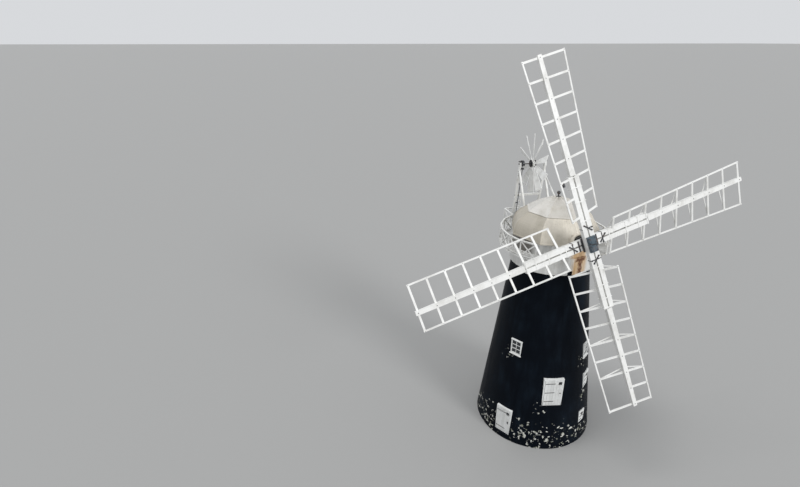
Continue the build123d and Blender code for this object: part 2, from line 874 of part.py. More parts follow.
def arm_block(index, s0, s1, across, width, d0, d1):
    """A square-cut timber along an arm, between two distances ahead of the hub."""
    leading = arm_frame(index)[1]
    middle = (d0 + d1) / 2
    start = arm_point(index, s0, across, middle)
    end = arm_point(index, s1, across, middle)
    return bar_between(start, end, width, d1 - d0, leading)


def pair_centre(index):
    """The top and bottom sails lie ahead of the left and right ones."""
    return pair_offset if index % 2 == 0 else -pair_offset


def weather_at(fraction):
    return radians(heel_weather + (tip_weather - heel_weather) * fraction)


def rail_point(index, fraction, width):
    """A point on a sail's edge, where the weather turns the leading edge forwards."""
    along = first_bar + bar_spacing * (bar_count - 1) * fraction
    angle = weather_at(fraction)
    ahead = pair_centre(index) + width * sin(angle)
    return arm_point(index, along, width * cos(angle), ahead)


def straight_rail_point(index, fraction, width):
    start = rail_point(index, 0, width)
    end = rail_point(index, 1, width)
    return start + (end - start) * fraction


def sail_bar(index, number):
    """One bar, through the whip from the trailing rail to the leading rail."""
    fraction = number / (bar_count - 1)
    trailing = straight_rail_point(index, fraction, -trailing_width)
    leading = straight_rail_point(index, fraction, leading_width)
    if sail_names[index] == missing_bar_sail and number == missing_bar_index:
        whole = trailing_width + leading_width
        trailing = trailing + (leading - trailing) * ((trailing_width - missing_bar_stub) / whole)
    outward = arm_frame(index)[0]
    return bar_between(trailing, leading, bar_width, bar_thickness, outward)


def sail_lattice(index):
    """Both edge rails and all the bars between them, joined."""
    forward = arm_frame(index)[2]
    lattice = None
    for width in (leading_width, -trailing_width):
        start = straight_rail_point(index, 0, width)
        end = straight_rail_point(index, 1, width)
        reach = (end - start).normalized() * (bar_width / 2 + sail_rail_overhang)
        rail = bar_between(start - reach, end + reach, sail_rail_thickness, sail_rail_width, forward)
        lattice = rail if lattice is None else lattice + rail
    for number in range(bar_count):
        lattice += sail_bar(index, number)
    return one_solid(lattice)


def whip(index):
    """The sail's tapered backbone, with a thin tongue let in behind the stock."""
    centre = pair_centre(index)
    half_depth = stock_member_depth / 2
    body_start = stock_half_length + scarf_end_gap
    tongue = arm_block(index, scarf_start, body_start, 0, whip_root_width, centre - half_depth, centre)
    outward, leading, forward = arm_frame(index)
    sections = []
    for along, width, depth in (
        (body_start, whip_root_width, stock_member_depth),
        (whip_end, whip_tip_width, whip_tip_depth),
    ):
        origin = arm_point(index, along, 0, centre)
        plane = Plane(origin=origin, x_dir=leading, z_dir=outward)
        sections.append(plane * Rectangle(width, depth))
    body = tongue + loft([s.faces()[0] for s in sections], ruled=True)
    for number in range(bar_count):
        body -= sail_bar(index, number)
    return one_solid(body)


def stock_pair(index):
    """Two long timbers side by side, through the hub from one sail to the opposite one."""
    centre = pair_centre(index)
    half_depth = stock_member_depth / 2
    members = []
    for side in (-1, 1):
        across = side * (stock_gap + stock_member_width) / 2
        member = arm_block(
            index,
            -stock_half_length,
            stock_half_length,
            across,
            stock_member_width,
            centre - half_depth,
            centre + half_depth,
        )
        for end in (-1, 1):
            low, high = sorted((end * scarf_start, end * (stock_half_length + scarf_end_gap)))
            back = centre - half_depth - scarf_side_gap
            rebate = arm_block(index, low, high, 0, whip_root_width, back, centre)
            member -= rebate
        for arm in (index, index + 2):
            for number in range(3):
                member -= sail_bar(arm, number)
        members.append(one_solid(member))
    return Compound(children=members)


def poll_end():
    """The iron head: a front block, a plate between the stocks and a flange behind."""
    half = pair_offset - stock_member_depth / 2
    front = pair_offset + stock_member_depth / 2
    head = arm_block(0, -poll_plate_size / 2, poll_plate_size / 2, 0, poll_plate_size, -half, half)
    head += arm_block(
        0,
        -poll_block_height / 2,
        poll_block_height / 2,
        0,
        poll_block_width,
        front,
        front + poll_block_thickness,
    )
    head += arm_block(
        0,
        -poll_plate_size / 2,
        poll_plate_size / 2,
        0,
        poll_plate_size,
        -front - poll_flange_thickness,
        -front,
    )
    core = stock_gap - 2 * poll_core_gap
    head += arm_block(0, -core / 2, core / 2, 0, core, -front, front)
    return one_solid(head)


def windshaft():
    """The tilted iron shaft, stepped for its neck and tail journals."""
    tilt = radians(shaft_tilt)
    flange_back = -(pair_offset + stock_member_depth / 2 + poll_flange_thickness)
    flange_y = hub_y - flange_back * cos(tilt)
    shaft = shaft_cylinder(shaft_radius, flange_y, shaft_tail_y - tail_length)
    shaft += shaft_cylinder(neck_radius, weather_beam_y - neck_length / 2, weather_beam_y + neck_length / 2)
    shaft += shaft_cylinder(tail_radius, shaft_tail_y - tail_length, shaft_tail_y)
    return one_solid(shaft)


def build_parts():
    parts = {}
    parts.update(wall_parts())
    parts["ground_floor"] = floor_disc(ground_floor_level, ground_floor_level)
    parts["first_floor"] = floor_disc(first_floor_level, floor_thickness)
    parts["second_floor"] = floor_disc(second_floor_level, floor_thickness)
    parts["curb_ring"] = tube(top_radius, curb_inner_radius, tower_height, curb_top_z)
    parts["ground_door_frame"] = one_solid(ground_door_frame())
    parts.update(ground_door_parts())
    parts.update(shut_door_parts())
    parts.update(window_parts())
    parts["cap_frame"] = cap_frame()
    cap_ring_inner_radius = petticoat_inner_radius - cap_ring_width
    parts["cap_ring"] = tube(petticoat_inner_radius, cap_ring_inner_radius, sheer_top_z, cap_ring_top_z)
    parts["cap_wall"] = cap_wall()
    parts.update(bearing_parts())
    parts.update(roof_parts())
    parts["cap_finial"] = cap_finial()
    parts["petticoat"] = petticoat()
    parts.update(gallery_parts())
    parts["fan_frame_left"] = fan_frame(-1)
    parts["fan_frame_right"] = fan_frame(1)
    parts["fan_crossbeams"] = fan_crossbeams()
    parts["fan_wheel"] = fan_wheel()
    parts["fan_axle"] = fan_axle()
    parts["windshaft"] = windshaft()
    parts["poll_end"] = poll_end()
    parts["front_stock"] = stock_pair(0)
    parts["rear_stock"] = stock_pair(1)
    for index, name in enumerate(sail_names):
        parts[f"whip_{name}"] = whip(index)
        parts[f"lattice_{name}"] = sail_lattice(index)
    return parts


os.makedirs("parts", exist_ok=True)
for node, shape in build_parts().items():
    export_step(shape, f"parts/{node}.step")
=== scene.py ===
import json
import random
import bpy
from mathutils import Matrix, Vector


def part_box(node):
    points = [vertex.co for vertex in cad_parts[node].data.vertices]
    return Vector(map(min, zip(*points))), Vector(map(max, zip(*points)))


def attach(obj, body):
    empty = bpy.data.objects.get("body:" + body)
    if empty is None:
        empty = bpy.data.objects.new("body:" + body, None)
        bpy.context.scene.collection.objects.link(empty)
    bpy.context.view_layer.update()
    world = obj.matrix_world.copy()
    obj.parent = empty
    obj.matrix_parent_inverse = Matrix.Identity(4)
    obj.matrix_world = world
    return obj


bl_info = {
    "name": "Tower Windmill Finish",
    "version": (1, 0, 0),
    "blender": (4, 5, 0),
    "location": "View3D > Sidebar > Windmill",
    "description": "Bricks, boards, ironwork and paint for a tarred tower windmill",
    "category": "Object",
}

from math import atan2, cos, degrees, radians, sin, tau

import bmesh
import bpy
from mathutils import Matrix, Vector, noise

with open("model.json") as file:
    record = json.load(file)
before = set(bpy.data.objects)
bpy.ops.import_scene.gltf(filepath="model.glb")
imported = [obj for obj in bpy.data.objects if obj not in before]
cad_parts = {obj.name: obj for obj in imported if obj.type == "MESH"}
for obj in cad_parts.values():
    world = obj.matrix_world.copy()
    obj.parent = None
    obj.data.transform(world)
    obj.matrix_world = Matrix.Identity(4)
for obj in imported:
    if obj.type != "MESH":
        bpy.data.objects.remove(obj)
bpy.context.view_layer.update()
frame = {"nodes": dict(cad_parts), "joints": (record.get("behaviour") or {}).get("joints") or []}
nodes = frame["nodes"]

UP = Vector((0, 0, 1))
RIGHT = Vector((1, 0, 0))


def joint(name):
    return next(j for j in frame["joints"] if j["name"] == name)


# Places taken from the frame
hub = Vector(joint("windshaft_turn")["pos_m"])
shaft_forward = Vector(joint("windshaft_turn")["axis"])
shaft_up = RIGHT.cross(shaft_forward) * -1
fan_centre = Vector(joint("fan_turn")["pos_m"])
tower_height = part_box("upper_wall_back")[1].z
ground_storey_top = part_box("ground_wall_back")[1].z
middle_storey_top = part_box("middle_wall_back")[1].z
eaves_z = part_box("cap_roof_left")[0].z
crown_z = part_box("cap_roof_left")[1].z
deck_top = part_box("gallery_deck")[1].z


# Properties


class TowerFinish(bpy.types.PropertyGroup):
    foot_radius: bpy.props.FloatProperty(
        name="Foot radius", description="Outer radius of the tower at the ground",
        default=3.7, unit="LENGTH",
    )
    top_radius: bpy.props.FloatProperty(
        name="Top radius", description="Outer radius of the tower at the curb",
        default=2.24, unit="LENGTH",
    )
    brick_length: bpy.props.FloatProperty(
        name="Brick length", description="Length of a brick with its joint", default=0.235, unit="LENGTH"
    )
    course_height: bpy.props.FloatProperty(
        name="Course height", description="Height of a course with its joint",
        default=0.075, unit="LENGTH",
    )
    joint_width: bpy.props.FloatProperty(
        name="Joint width", description="Width of the tarred joints", default=0.011, unit="LENGTH"
    )
    brick_proud: bpy.props.FloatProperty(
        name="Brick relief", description="How far bricks stand out of the joints",
        default=0.005, unit="LENGTH",
    )
    tar_color: bpy.props.FloatVectorProperty(
        name="Tar", description="Colour of the tar", subtype="COLOR", default=(0.0018, 0.0034, 0.0065)
    )
    flake_color: bpy.props.FloatVectorProperty(
        name="Flakes", description="Limey brick where the tar has flaked off", subtype="COLOR",
        default=(0.62, 0.62, 0.57),
    )
    brick_color: bpy.props.FloatVectorProperty(
        name="Brick", description="Bare brick under the tar", subtype="COLOR", default=(0.3, 0.13, 0.08)
    )


class TimberFinish(bpy.types.PropertyGroup):
    sail_color: bpy.props.FloatVectorProperty(
        name="Sail paint", description="White paint of the sails", subtype="COLOR",
        default=(0.83, 0.83, 0.81),
    )
    gallery_color: bpy.props.FloatVectorProperty(
        name="Gallery paint", description="White paint of the gallery", subtype="COLOR",
        default=(0.78, 0.78, 0.76),
    )
    joinery_color: bpy.props.FloatVectorProperty(
        name="Joinery paint", description="White paint of doors and windows", subtype="COLOR",
        default=(0.8, 0.81, 0.8),
    )
    cap_color: bpy.props.FloatVectorProperty(
        name="Cap paint", description="Cream paint of the cap's sides", subtype="COLOR",
        default=(0.72, 0.67, 0.58),
    )
    crown_color: bpy.props.FloatVectorProperty(
        name="Crown paint", description="Paler paint above the lip", subtype="COLOR",
        default=(0.7, 0.68, 0.64),
    )
    # Painted shade: this dark grey paints the shade under the eaves on the cap wall
    shaded_color: bpy.props.FloatVectorProperty(
        name="Wall paint", description="Painted shade of the cap wall under the eaves", subtype="COLOR",
        default=(0.2, 0.19, 0.175),
    )
    stain_color: bpy.props.FloatVectorProperty(
        name="Stain", description="Rusty stain under the neck bearing", subtype="COLOR",
        default=(0.58, 0.38, 0.19),
    )
    # This dark colour paints both the grease run and a painted shadow along the petticoat's top at deck level
    grease_and_shadow_color: bpy.props.FloatVectorProperty(
        name="Streak", description="Grease in the middle of the stain, and painted shadow at the petticoat's top", subtype="COLOR",
        default=(0.13, 0.05, 0.02),
    )
    oak_color: bpy.props.FloatVectorProperty(
        name="Oak", description="Bare timber inside the cap", subtype="COLOR", default=(0.22, 0.15, 0.09)
    )
    wall_board_width: bpy.props.FloatProperty(
        name="Wall boards", description="Width of the boards round the cap", default=0.165, unit="LENGTH"
    )
    deck_board_width: bpy.props.FloatProperty(
        name="Deck boards", description="Width of a deck board with its gap", default=0.115, unit="LENGTH"
    )
    # Painted shade: how much darker the crown's front and right, and the steep sides on the left and back
    # below the lip, are painted
    facet_shade: bpy.props.FloatProperty(
        name="Facet shade", description="How much duller the roof's front crown and steep sides are",
        default=0.3,
    )
    facet_boards: bpy.props.IntProperty(
        name="Facet boards", description="Boards across each facet of the roof", default=12
    )
    ridge_width: bpy.props.FloatProperty(
        name="Ridge strips", description="Width of the strips on the roof's ridges",
        default=0.06, unit="LENGTH",
    )
    lip_width: bpy.props.FloatProperty(
        name="Crown lip", description="Width of the lip round the crown", default=0.1, unit="LENGTH"
    )
    strut_width: bpy.props.FloatProperty(
        name="Sail struts", description="Width of the struts behind the bars",
        default=0.058, unit="LENGTH",
    )


class IronFinish(bpy.types.PropertyGroup):
    dark_color: bpy.props.FloatVectorProperty(
        name="Dark iron", description="Black painted ironwork", subtype="COLOR",
        default=(0.02, 0.021, 0.024),
    )
    poll_color: bpy.props.FloatVectorProperty(
        name="Poll end", description="Blue-grey paint of the poll end", subtype="COLOR",
        default=(0.052, 0.085, 0.11),
    )
    bolt_size: bpy.props.FloatProperty(
        name="Bolt size", description="Radius of a bolt's head", default=0.024, unit="LENGTH"
    )


class StageLight(bpy.types.PropertyGroup):
    floor_color: bpy.props.FloatVectorProperty(
        name="Floor", description="Colour of the pale floor", subtype="COLOR", default=(0.33, 0.33, 0.325)
    )
    fill_strength: bpy.props.FloatProperty(
        name="Fill light", description="Strength of the light from the front", default=1.55
    )
    world_strength: bpy.props.FloatProperty(
        name="Sky", description="Strength of the soft light from all round", default=0.72
    )
    key_strength: bpy.props.FloatProperty(
        name="Key light", description="Strength of the light from above", default=1.0
    )


# Mesh helpers


def box_at(bm, matrix, size):
    """A box of the given size about a matrix's origin."""
    return bmesh.ops.create_cube(bm, size=1, matrix=matrix @ Matrix.Diagonal((*size, 1)))["verts"]


def moved(place, x, y, z):
    """A matrix shifted along its own axes."""
    return place @ Matrix.Translation((x, y, z))


def toned_mesh():
    """An empty mesh whose faces can carry a tone."""
    bm = bmesh.new()
    bm.faces.layers.float.new("tone")
    return bm


def mark_faces(verts, layer, value):
    """Writes a value on every face of some vertices."""
    for face in {face for vert in verts for face in vert.link_faces}:
        face[layer] = value


def join(bm, part):
    """Moves one mesh into another."""
    mesh = bpy.data.meshes.new("part")
    part.to_mesh(mesh)
    part.free()
    bm.from_mesh(mesh)
    bpy.data.meshes.remove(mesh)


def soft_box(bm, matrix, size, bevel, tone=0.0):
    """A box with its edges taken off; its faces carry their tone where the mesh has such a layer."""
    verts = box_at(bm, matrix, size)
    layer = bm.faces.layers.float.get("tone")
    if layer:
        mark_faces(verts, layer, tone)
    edges = list({edge for vert in verts for edge in vert.link_edges})
    bmesh.ops.bevel(bm, geom=edges, offset=bevel, segments=1, profile=0.5, affect="EDGES", material=-1)


def along(start, end, side):
    """A matrix at the middle of a line, its Z along the line and its X near the given side."""
    z = (end - start).normalized()
    x = (side - z * side.dot(z)).normalized()
    y = z.cross(x)
    matrix = Matrix((x, y, z)).transposed().to_4x4()
    matrix.translation = (start + end) / 2
    return matrix


def bar(bm, start, end, side, width, thickness, bevel=0.0):
    """A bar between two points; width lies along side."""
    size = (width, thickness, (end - start).length)
    if bevel:
        soft_box(bm, along(start, end, side), size, bevel)
    else:
        box_at(bm, along(start, end, side), size)


def rod(bm, start, end, radius, sides=8):
    side = RIGHT if abs((end - start).normalized().x) < 0.9 else UP
    bmesh.ops.create_cone(
        bm,
        cap_ends=True,
        segments=sides,
        radius1=radius,
        radius2=radius,
        depth=(end - start).length,
        matrix=along(start, end, side),
    )


def bolt(bm, point, direction, radius):
    """A washer and a six-sided head."""
    out = direction.normalized()
    rod(bm, point, point + out * radius * 0.35, radius * 1.45, 12)
    rod(bm, point + out * radius * 0.3, point + out * radius * 1.15, radius, 6)


def turned(bm, start, toward, outline, sides=24):
    """A turned ring about a line; the closed outline gives radius and distance from the start."""
    axis = toward.normalized()
    place = along(start, start + axis, RIGHT if abs(axis.x) < 0.9 else UP)
    place.translation = start
    verts = [bm.verts.new(place @ Vector((radius, 0, distance))) for radius, distance in outline]
    edges = [bm.edges.new(pair) for pair in zip(verts, verts[1:] + verts[:1])]
    bmesh.ops.spin(
        bm, geom=verts + edges, cent=start, axis=axis, angle=tau, steps=sides, use_merge=True
    )


def swept_face(bm, corners, centre, axis, angle, steps):
    """A solid arc: a flat face swung about an axis."""
    face = bm.faces.new([bm.verts.new(corner) for corner in corners])
    geom = [face, *face.edges, *face.verts]
    bmesh.ops.spin(bm, geom=geom, cent=centre, axis=axis, angle=angle, steps=steps)


def polar(azimuth, radius, z=0.0):
    """A point at an azimuth from -Y towards +X and a radius from the tower's axis."""
    return Vector((radius * sin(radians(azimuth)), -radius * cos(radians(azimuth)), z))


def outward_frame(azimuth, radius, z):
    """A matrix on the wall: X to the right seen from outside, Y inwards, Z up."""
    turn = Matrix.Rotation(radians(azimuth), 4, "Z")
    return turn @ Matrix.Translation((0, -radius, z))


def finish_piece(name, bm, material, body):
    """Turns a bmesh into a piece that rides on a body."""
    bmesh.ops.recalc_face_normals(bm, faces=bm.faces)
    mesh = bpy.data.meshes.new(name)
    bm.to_mesh(mesh)
    bm.free()
    mesh.materials.append(material)
    piece = bpy.data.objects.new(name, mesh)
    bpy.context.scene.collection.objects.link(piece)
    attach(piece, body)


def dress(material, *names):
    """Gives CAD nodes their finish."""
    for name in names:
        slots = nodes[name].data.materials
        slots.clear()
        slots.append(material)


# Shader helpers

surface_parts = ("Color", "Roughness", "Height")
full_tone = 0.72
worn_tar = (0.006, 0.011, 0.018)
moss = (0.16, 0.17, 0.12)
blotch_scale = 4.7
flake_limits = (0.9, 0.925)


class Value:
    """What a shader node gives, to be added, subtracted and multiplied like a number."""

    def __init__(self, node, output=0):
        self.node = node
        self.socket = node.outputs[output]
        self.tree = node.id_data

    def calc(self, operation, other=0.0):
        return Value(add_node(self.tree, "ShaderNodeMath", {0: self, 1: other}, operation=operation))

    def __add__(self, other):
        return self.calc("ADD", other)

    def __sub__(self, other):
        return self.calc("SUBTRACT", other)

    def __rsub__(self, other):
        return Value(add_node(self.tree, "ShaderNodeMath", {0: other, 1: self}, operation="SUBTRACT"))

    def __mul__(self, other):
        return self.calc("MULTIPLY", other)

    def clamped(self):
        self.node.use_clamp = True
        return self


def add_node(tree, kind, inputs=None, **settings):
    node = tree.nodes.new(kind)
    for key, value in settings.items():
        setattr(node, key, value)
    for key, value in (inputs or {}).items():
        if isinstance(value, Value):
            tree.links.new(value.socket, node.inputs[key])
        else:
            node.inputs[key].default_value = value
    return node


def rgba(color):
    return (*color, 1)


def darker(color, share):
    return tuple(share * part for part in color)


def attribute(tree, name):
    return Value(add_node(tree, "ShaderNodeAttribute", attribute_name=name), "Fac")


def mix_color(factor, a, b):
    """Mixes two colours; their sockets have places 6 and 7 on the node, and the result has 2."""
    a, b = (color if isinstance(color, Value) else rgba(color) for color in (a, b))
    return Value(add_node(factor.tree, "ShaderNodeMix", {0: factor, 6: a, 7: b}, data_type="RGBA"), 2)


def ramp(value, low, high, to_low=0.0, to_high=1.0):
    """Maps a value between two limits, smoothly and clamped."""
    given = {"Value": value, "From Min": low, "From Max": high, "To Min": to_low, "To Max": to_high}
    return Value(add_node(value.tree, "ShaderNodeMapRange", given, interpolation_type="SMOOTHSTEP"), "Result")


def object_point(tree):
    return Value(add_node(tree, "ShaderNodeTexCoord"), "Object")


def stretched(vector, scale):
    return Value(add_node(vector.tree, "ShaderNodeMapping", {"Vector": vector, "Scale": scale}))


def noise_at(vector, scale, detail=4.0, roughness=0.55):
    given = {"Vector": vector, "Scale": scale, "Detail": detail, "Roughness": roughness}
    return Value(add_node(vector.tree, "ShaderNodeTexNoise", given), "Fac")


def new_group(name, inputs):
    """A node group for a surface, and what it is given: a point and some named values."""
    group = bpy.data.node_groups.new(name, "ShaderNodeTree")
    group.interface.new_socket("Vector", in_out="INPUT", socket_type="NodeSocketVector")
    for socket, default in inputs.items():
        kind = "NodeSocketColor" if isinstance(default, tuple) else "NodeSocketFloat"
        item = group.interface.new_socket(socket, in_out="INPUT", socket_type=kind)
        item.default_value = default
    for socket in surface_parts:
        kind = "NodeSocketColor" if socket == "Color" else "NodeSocketFloat"
        group.interface.new_socket(socket, in_out="OUTPUT", socket_type=kind)
    given = group.nodes.new("NodeGroupInput")
    return group, {socket: Value(given, socket) for socket in ("Vector", *inputs)}


def weathered_paint_group():
    """Paint that chalks, gathers grime in patches and runs, and shows brush marks."""
    group, given = new_group(
        "Weathered Paint",
        {"Paint": (0.8, 0.8, 0.8, 1), "Grime": (0.25, 0.23, 0.19, 1), "Amount": 0.4, "Scale": 1.0},
    )
    scaled = {0: given["Vector"], "Scale": given["Scale"]}
    point = Value(add_node(group, "ShaderNodeVectorMath", scaled, operation="SCALE"))
    patches = noise_at(point, 1.3, 6, 0.6)
    runs = noise_at(stretched(point, (9, 9, 0.9)), 1.0, 5, 0.6)
    specks = noise_at(point, 42, 3, 0.7)
    dirt = ramp(patches, 0.42, 0.72) * 0.75 + ramp(runs, 0.52, 0.78) * 0.6 + ramp(specks, 0.6, 0.72) * 0.5
    dirt = (dirt * given["Amount"]).clamped()
    brushed = noise_at(stretched(point, (60, 60, 7)), 1.0, 3, 0.5)
    color = mix_color(dirt, given["Paint"], given["Grime"])
    out = {"Color": color, "Roughness": dirt * 0.3 + 0.42, "Height": brushed + specks * 0.4}
    add_node(group, "NodeGroupOutput", out)


def iron_group():
    """Thick paint on rough iron with rust breaking through."""
    group, given = new_group(
        "Painted Iron", {"Paint": (0.02, 0.02, 0.02, 1), "Rust": (0.2, 0.08, 0.03, 1), "Amount": 0.4}
    )
    broad = noise_at(given["Vector"], 5, 8, 0.65)
    fine = noise_at(given["Vector"], 90, 3, 0.6)
    rust = (ramp(broad, 0.5, 0.68) * given["Amount"]).clamped()
    shade = mix_color(ramp(broad, 0.3, 0.7, 0.0, 0.35), given["Paint"], (0.12, 0.13, 0.14))
    color = mix_color(rust, shade, given["Rust"])
    out = {"Color": color, "Roughness": rust * 0.4 + 0.38, "Height": fine + rust}
    add_node(group, "NodeGroupOutput", out)


def new_material(name):
    material = bpy.data.materials.new(name)
    material.use_nodes = True
    tree = material.node_tree
    return material, tree, tree.nodes["Principled BSDF"].inputs


def coat(tree, surface, parts, strength, distance):
    """Joins colour, roughness and relief to a material's shader; a plain colour is set on its socket."""
    relief = {"Height": parts["Height"], "Strength": strength, "Distance": distance}
    if "Color" in parts:
        tree.links.new(parts["Color"].socket, surface["Base Color"])
    tree.links.new(parts["Roughness"].socket, surface["Roughness"])
    tree.links.new(add_node(tree, "ShaderNodeBump", relief).outputs["Normal"], surface["Normal"])


def place_group(tree, name, inputs):
    node = add_node(tree, "ShaderNodeGroup", inputs, node_tree=bpy.data.node_groups[name])
    return {part: Value(node, part) for part in surface_parts}


def painted_timber(name, color, amount=0.35, scale=1.0, grime=(0.27, 0.25, 0.2)):
    """White or cream paint on sawn timber; boards with a tone are a little darker."""
    material, tree, surface = new_material(name)
    paint = mix_color(attribute(tree, "tone"), color, darker(color, full_tone))
    given = {"Vector": object_point(tree), "Paint": paint, "Grime": rgba(grime)}
    given.update(Amount=amount, Scale=scale)
    coat(tree, surface, place_group(tree, "Weathered Paint", given), 0.35, 0.004)
    return material


def iron_coat(tree, surface, point, paint, amount):
    """Thick paint on iron as the surface of a material."""
    given = {"Vector": point, "Paint": paint, "Amount": amount}
    coat(tree, surface, place_group(tree, "Painted Iron", given), 0.4, 0.003)
    surface["Metallic"].default_value = 0.2


def painted_iron(name, color, amount=0.4):
    material, tree, surface = new_material(name)
    iron_coat(tree, surface, object_point(tree), rgba(color), amount)
    return material


def bare_wood(name, color, direction):
    """Bare timber whose grain runs along one axis; direction squeezes the noise."""
    material, tree, surface = new_material(name)
    grain = noise_at(stretched(object_point(tree), direction), 1.0, 8, 0.6)
    shade = mix_color(ramp(grain, 0.35, 0.7), color, darker(color, 0.45))
    parts = {"Color": shade, "Roughness": ramp(grain, 0.3, 0.8, 0.55, 0.8), "Height": grain}
    coat(tree, surface, parts, 0.5, 0.006)
    return material


def tarred_brick(name, tower, with_flakes):
    """Satin tar over brick; the bricks themselves carry how far their tar has flaked."""
    material, tree, surface = new_material(name)
    point = object_point(tree)
    broad = noise_at(point, 0.7, 5, 0.6)
    runs = noise_at(stretched(point, (3, 3, 0.35)), 1.0, 5, 0.6)
    fine = noise_at(point, 22, 5, 0.65)
    color = mix_color(ramp(broad, 0.35, 0.75) * ramp(runs, 0.35, 0.7), tower.tar_color, worn_tar)
    rough = ramp(fine + runs, 0.7, 1.3, 0.36, 0.56)
    if with_flakes:
        blotch = noise_at(point, blotch_scale, 3, 0.5)
        bare = ramp(blotch + attribute(tree, "flake") * 0.35, *flake_limits)
        limed = mix_color(ramp(fine, 0.62, 0.76), tower.flake_color, tower.brick_color)
        limed = mix_color(ramp(noise_at(point, 3.1, 2, 0.5), 0.45, 0.6, 0.0, 0.8), limed, moss)
        color = mix_color(bare, color, limed)
        rough = (rough + bare * 0.4).clamped()
    coat(tree, surface, {"Color": color, "Roughness": rough, "Height": fine}, 0.5, 0.006)
    surface["Specular IOR Level"].default_value = 0.07
    return material


# Tower wall


class WINDMILL_OT_shared_shaders(bpy.types.Operator):
    """Builds the node groups that several materials use"""

    bl_idname = "windmill.shared_shaders"
    bl_label = "Shared shaders"

    def execute(self, context):
        weathered_paint_group()
        iron_group()
        return {"FINISHED"}


opening_names = ("ground_door_frame", "shut_door_frames", "window_frames")
ground_door_azimuth = -57.5
light_size = 0.15
joint_slack = 0.004
# Tar is off most at the middle of the band near the foot, and below the sills of upper openings
flake_middle = 0.7
flake_top = 2.0
flake_fall = 0.2
upper_sill = 2.5
sill_splash = 0.35


def loose_parts(name):
    """The corners of each separate solid of a CAD node, sorted so that every run reads them alike."""
    bm = bmesh.new()
    bm.from_mesh(nodes[name].data)
    bmesh.ops.remove_doubles(bm, verts=bm.verts, dist=1e-5)
    left = set(bm.verts)
    parts = []
    while left:
        stack = [left.pop()]
        found = []
        while stack:
            vert = stack.pop()
            found.append(vert.co.copy())
            beside = {edge.other_vert(vert) for edge in vert.link_edges} & left
            left -= beside
            stack += beside
        parts.append(sorted(found, key=tuple))
    bm.free()
    return sorted(parts, key=lambda points: tuple(points[0]))


def azimuth_of(points):
    """The azimuth of the middle of some points."""
    middle = sum(points, Vector()) / len(points)
    return degrees(atan2(middle.x, -middle.y))


def extent(points, azimuth):
    """Lowest and highest corner of some points, turned until their azimuth faces the front."""
    turn = Matrix.Rotation(-radians(azimuth), 3, "Z")
    local = [turn @ point for point in points]
    return [Vector([pick(point[axis] for point in local) for axis in range(3)]) for pick in (min, max)]


def openings():
    """Each opening's azimuth, half width, lower and upper edge and radius, read from its frame."""
    found = []
    for name in opening_names:
        for points in loose_parts(name):
            azimuth = azimuth_of(points)
            low, high = extent(points, azimuth)
            found.append((azimuth, (high.x - low.x) / 2, low.z, high.z, -low.y))
    return found


def turn_from(other, azimuth):
    """The turn from one azimuth to another, between -180 and 180 degrees."""
    return (azimuth - other + 180) % 360 - 180


def wall_radius(tower, z):
    return tower.foot_radius + (tower.top_radius - tower.foot_radius) * z / tower_height


def in_opening(found, azimuth, radius, half_length, z0, z1):
    """Whether a brick would reach into one of the openings."""
    for middle, half, low, high, face in found:
        offset = turn_from(middle, azimuth)
        if abs(offset) < 60 and z1 > low - joint_slack and z0 < high + joint_slack:
            if abs(radius * sin(radians(offset))) < half + half_length - joint_slack / 2:
                return True
    return False


def flake_of(found, chance, azimuth, point, z):
    """How much of a brick's tar is off: much near the foot, some below doors and windows."""
    clump = 0.35 * noise.noise(point * 0.9)
    weather_side = 0.1 * abs(sin(radians((azimuth + 25) / 2)))
    likely = 0.98 - weather_side - abs(z - flake_middle - clump) * flake_fall
    if z > flake_top + clump:
        likely = 0.0
    for middle, half, low, high, face in found:
        across = face * radians(turn_from(middle, azimuth)) + half
        near = 1 - (across**2 + (z - low + 0.2) ** 2) / sill_splash
        if low > upper_sill and near > 0:
            likely = max(likely, 0.66 + 0.28 * near)
    return likely + chance.uniform(-0.12, 0.12)


def lay_course(tower, found, chance, z, height, course):
    """One course as a mesh of its own; its bricks carry how far their tar has flaked."""
    bm = bmesh.new()
    layer = bm.faces.layers.float.new("flake")
    radius = wall_radius(tower, z + height / 2)
    lean = atan2(tower.foot_radius - tower.top_radius, tower_height)
    count = round(tau * radius / tower.brick_length)
    step = 360 / count
    length = tau * radius / count - tower.joint_width
    for index in range(count):
        azimuth = (index + 0.5 * (course % 2)) * step
        if in_opening(found, azimuth, radius, length / 2, z, z + height):
            continue
        proud = tower.brick_proud + chance.uniform(-0.0015, 0.0015)
        place = outward_frame(azimuth, radius, z + height / 2) @ Matrix.Rotation(-lean, 4, "X")
        verts = box_at(bm, place, (length, 2 * proud, height - tower.joint_width))
        mark_faces(verts, layer, flake_of(found, chance, azimuth, place.translation, z))
    return bm


class WINDMILL_OT_tower_bricks(bpy.types.Operator):
    """Lays the courses of tarred bricks on the tower's wall"""

    bl_idname = "windmill.tower_bricks"
    bl_label = "Tower bricks"

    def execute(self, context):
        tower = context.scene.windmill_tower
        chance = random.Random(7)
        found = openings()
        material = tarred_brick("Tarred bricks", tower, True)
        mortar = tarred_brick("Tarred joints", tower, False)
        walls = [name for name in nodes if "_wall_" in name]
        dress(mortar, *walls, "ground_door_lintel", "ground_door_sill")
        levels = (0.0, ground_storey_top, middle_storey_top, tower_height)
        for storey, z0, z1 in zip(("ground", "middle", "upper"), levels, levels[1:]):
            bm = bmesh.new()
            bm.faces.layers.float.new("flake")
            count = round((z1 - z0) / tower.course_height)
            height = (z1 - z0) / count
            for course in range(count):
                join(bm, lay_course(tower, found, chance, z0 + course * height, height, course))
            finish_piece(f"{storey}_bricks", bm, material, "tower")
        return {"FINISHED"}


# Doors and windows

door_board_width = 0.17
light_drop = 1.6
strap_share = 0.36
# Painted shade: the opaque near-black glass stands in for the dark inside seen through the panes
glass_shade_color = (0.03, 0.035, 0.04)


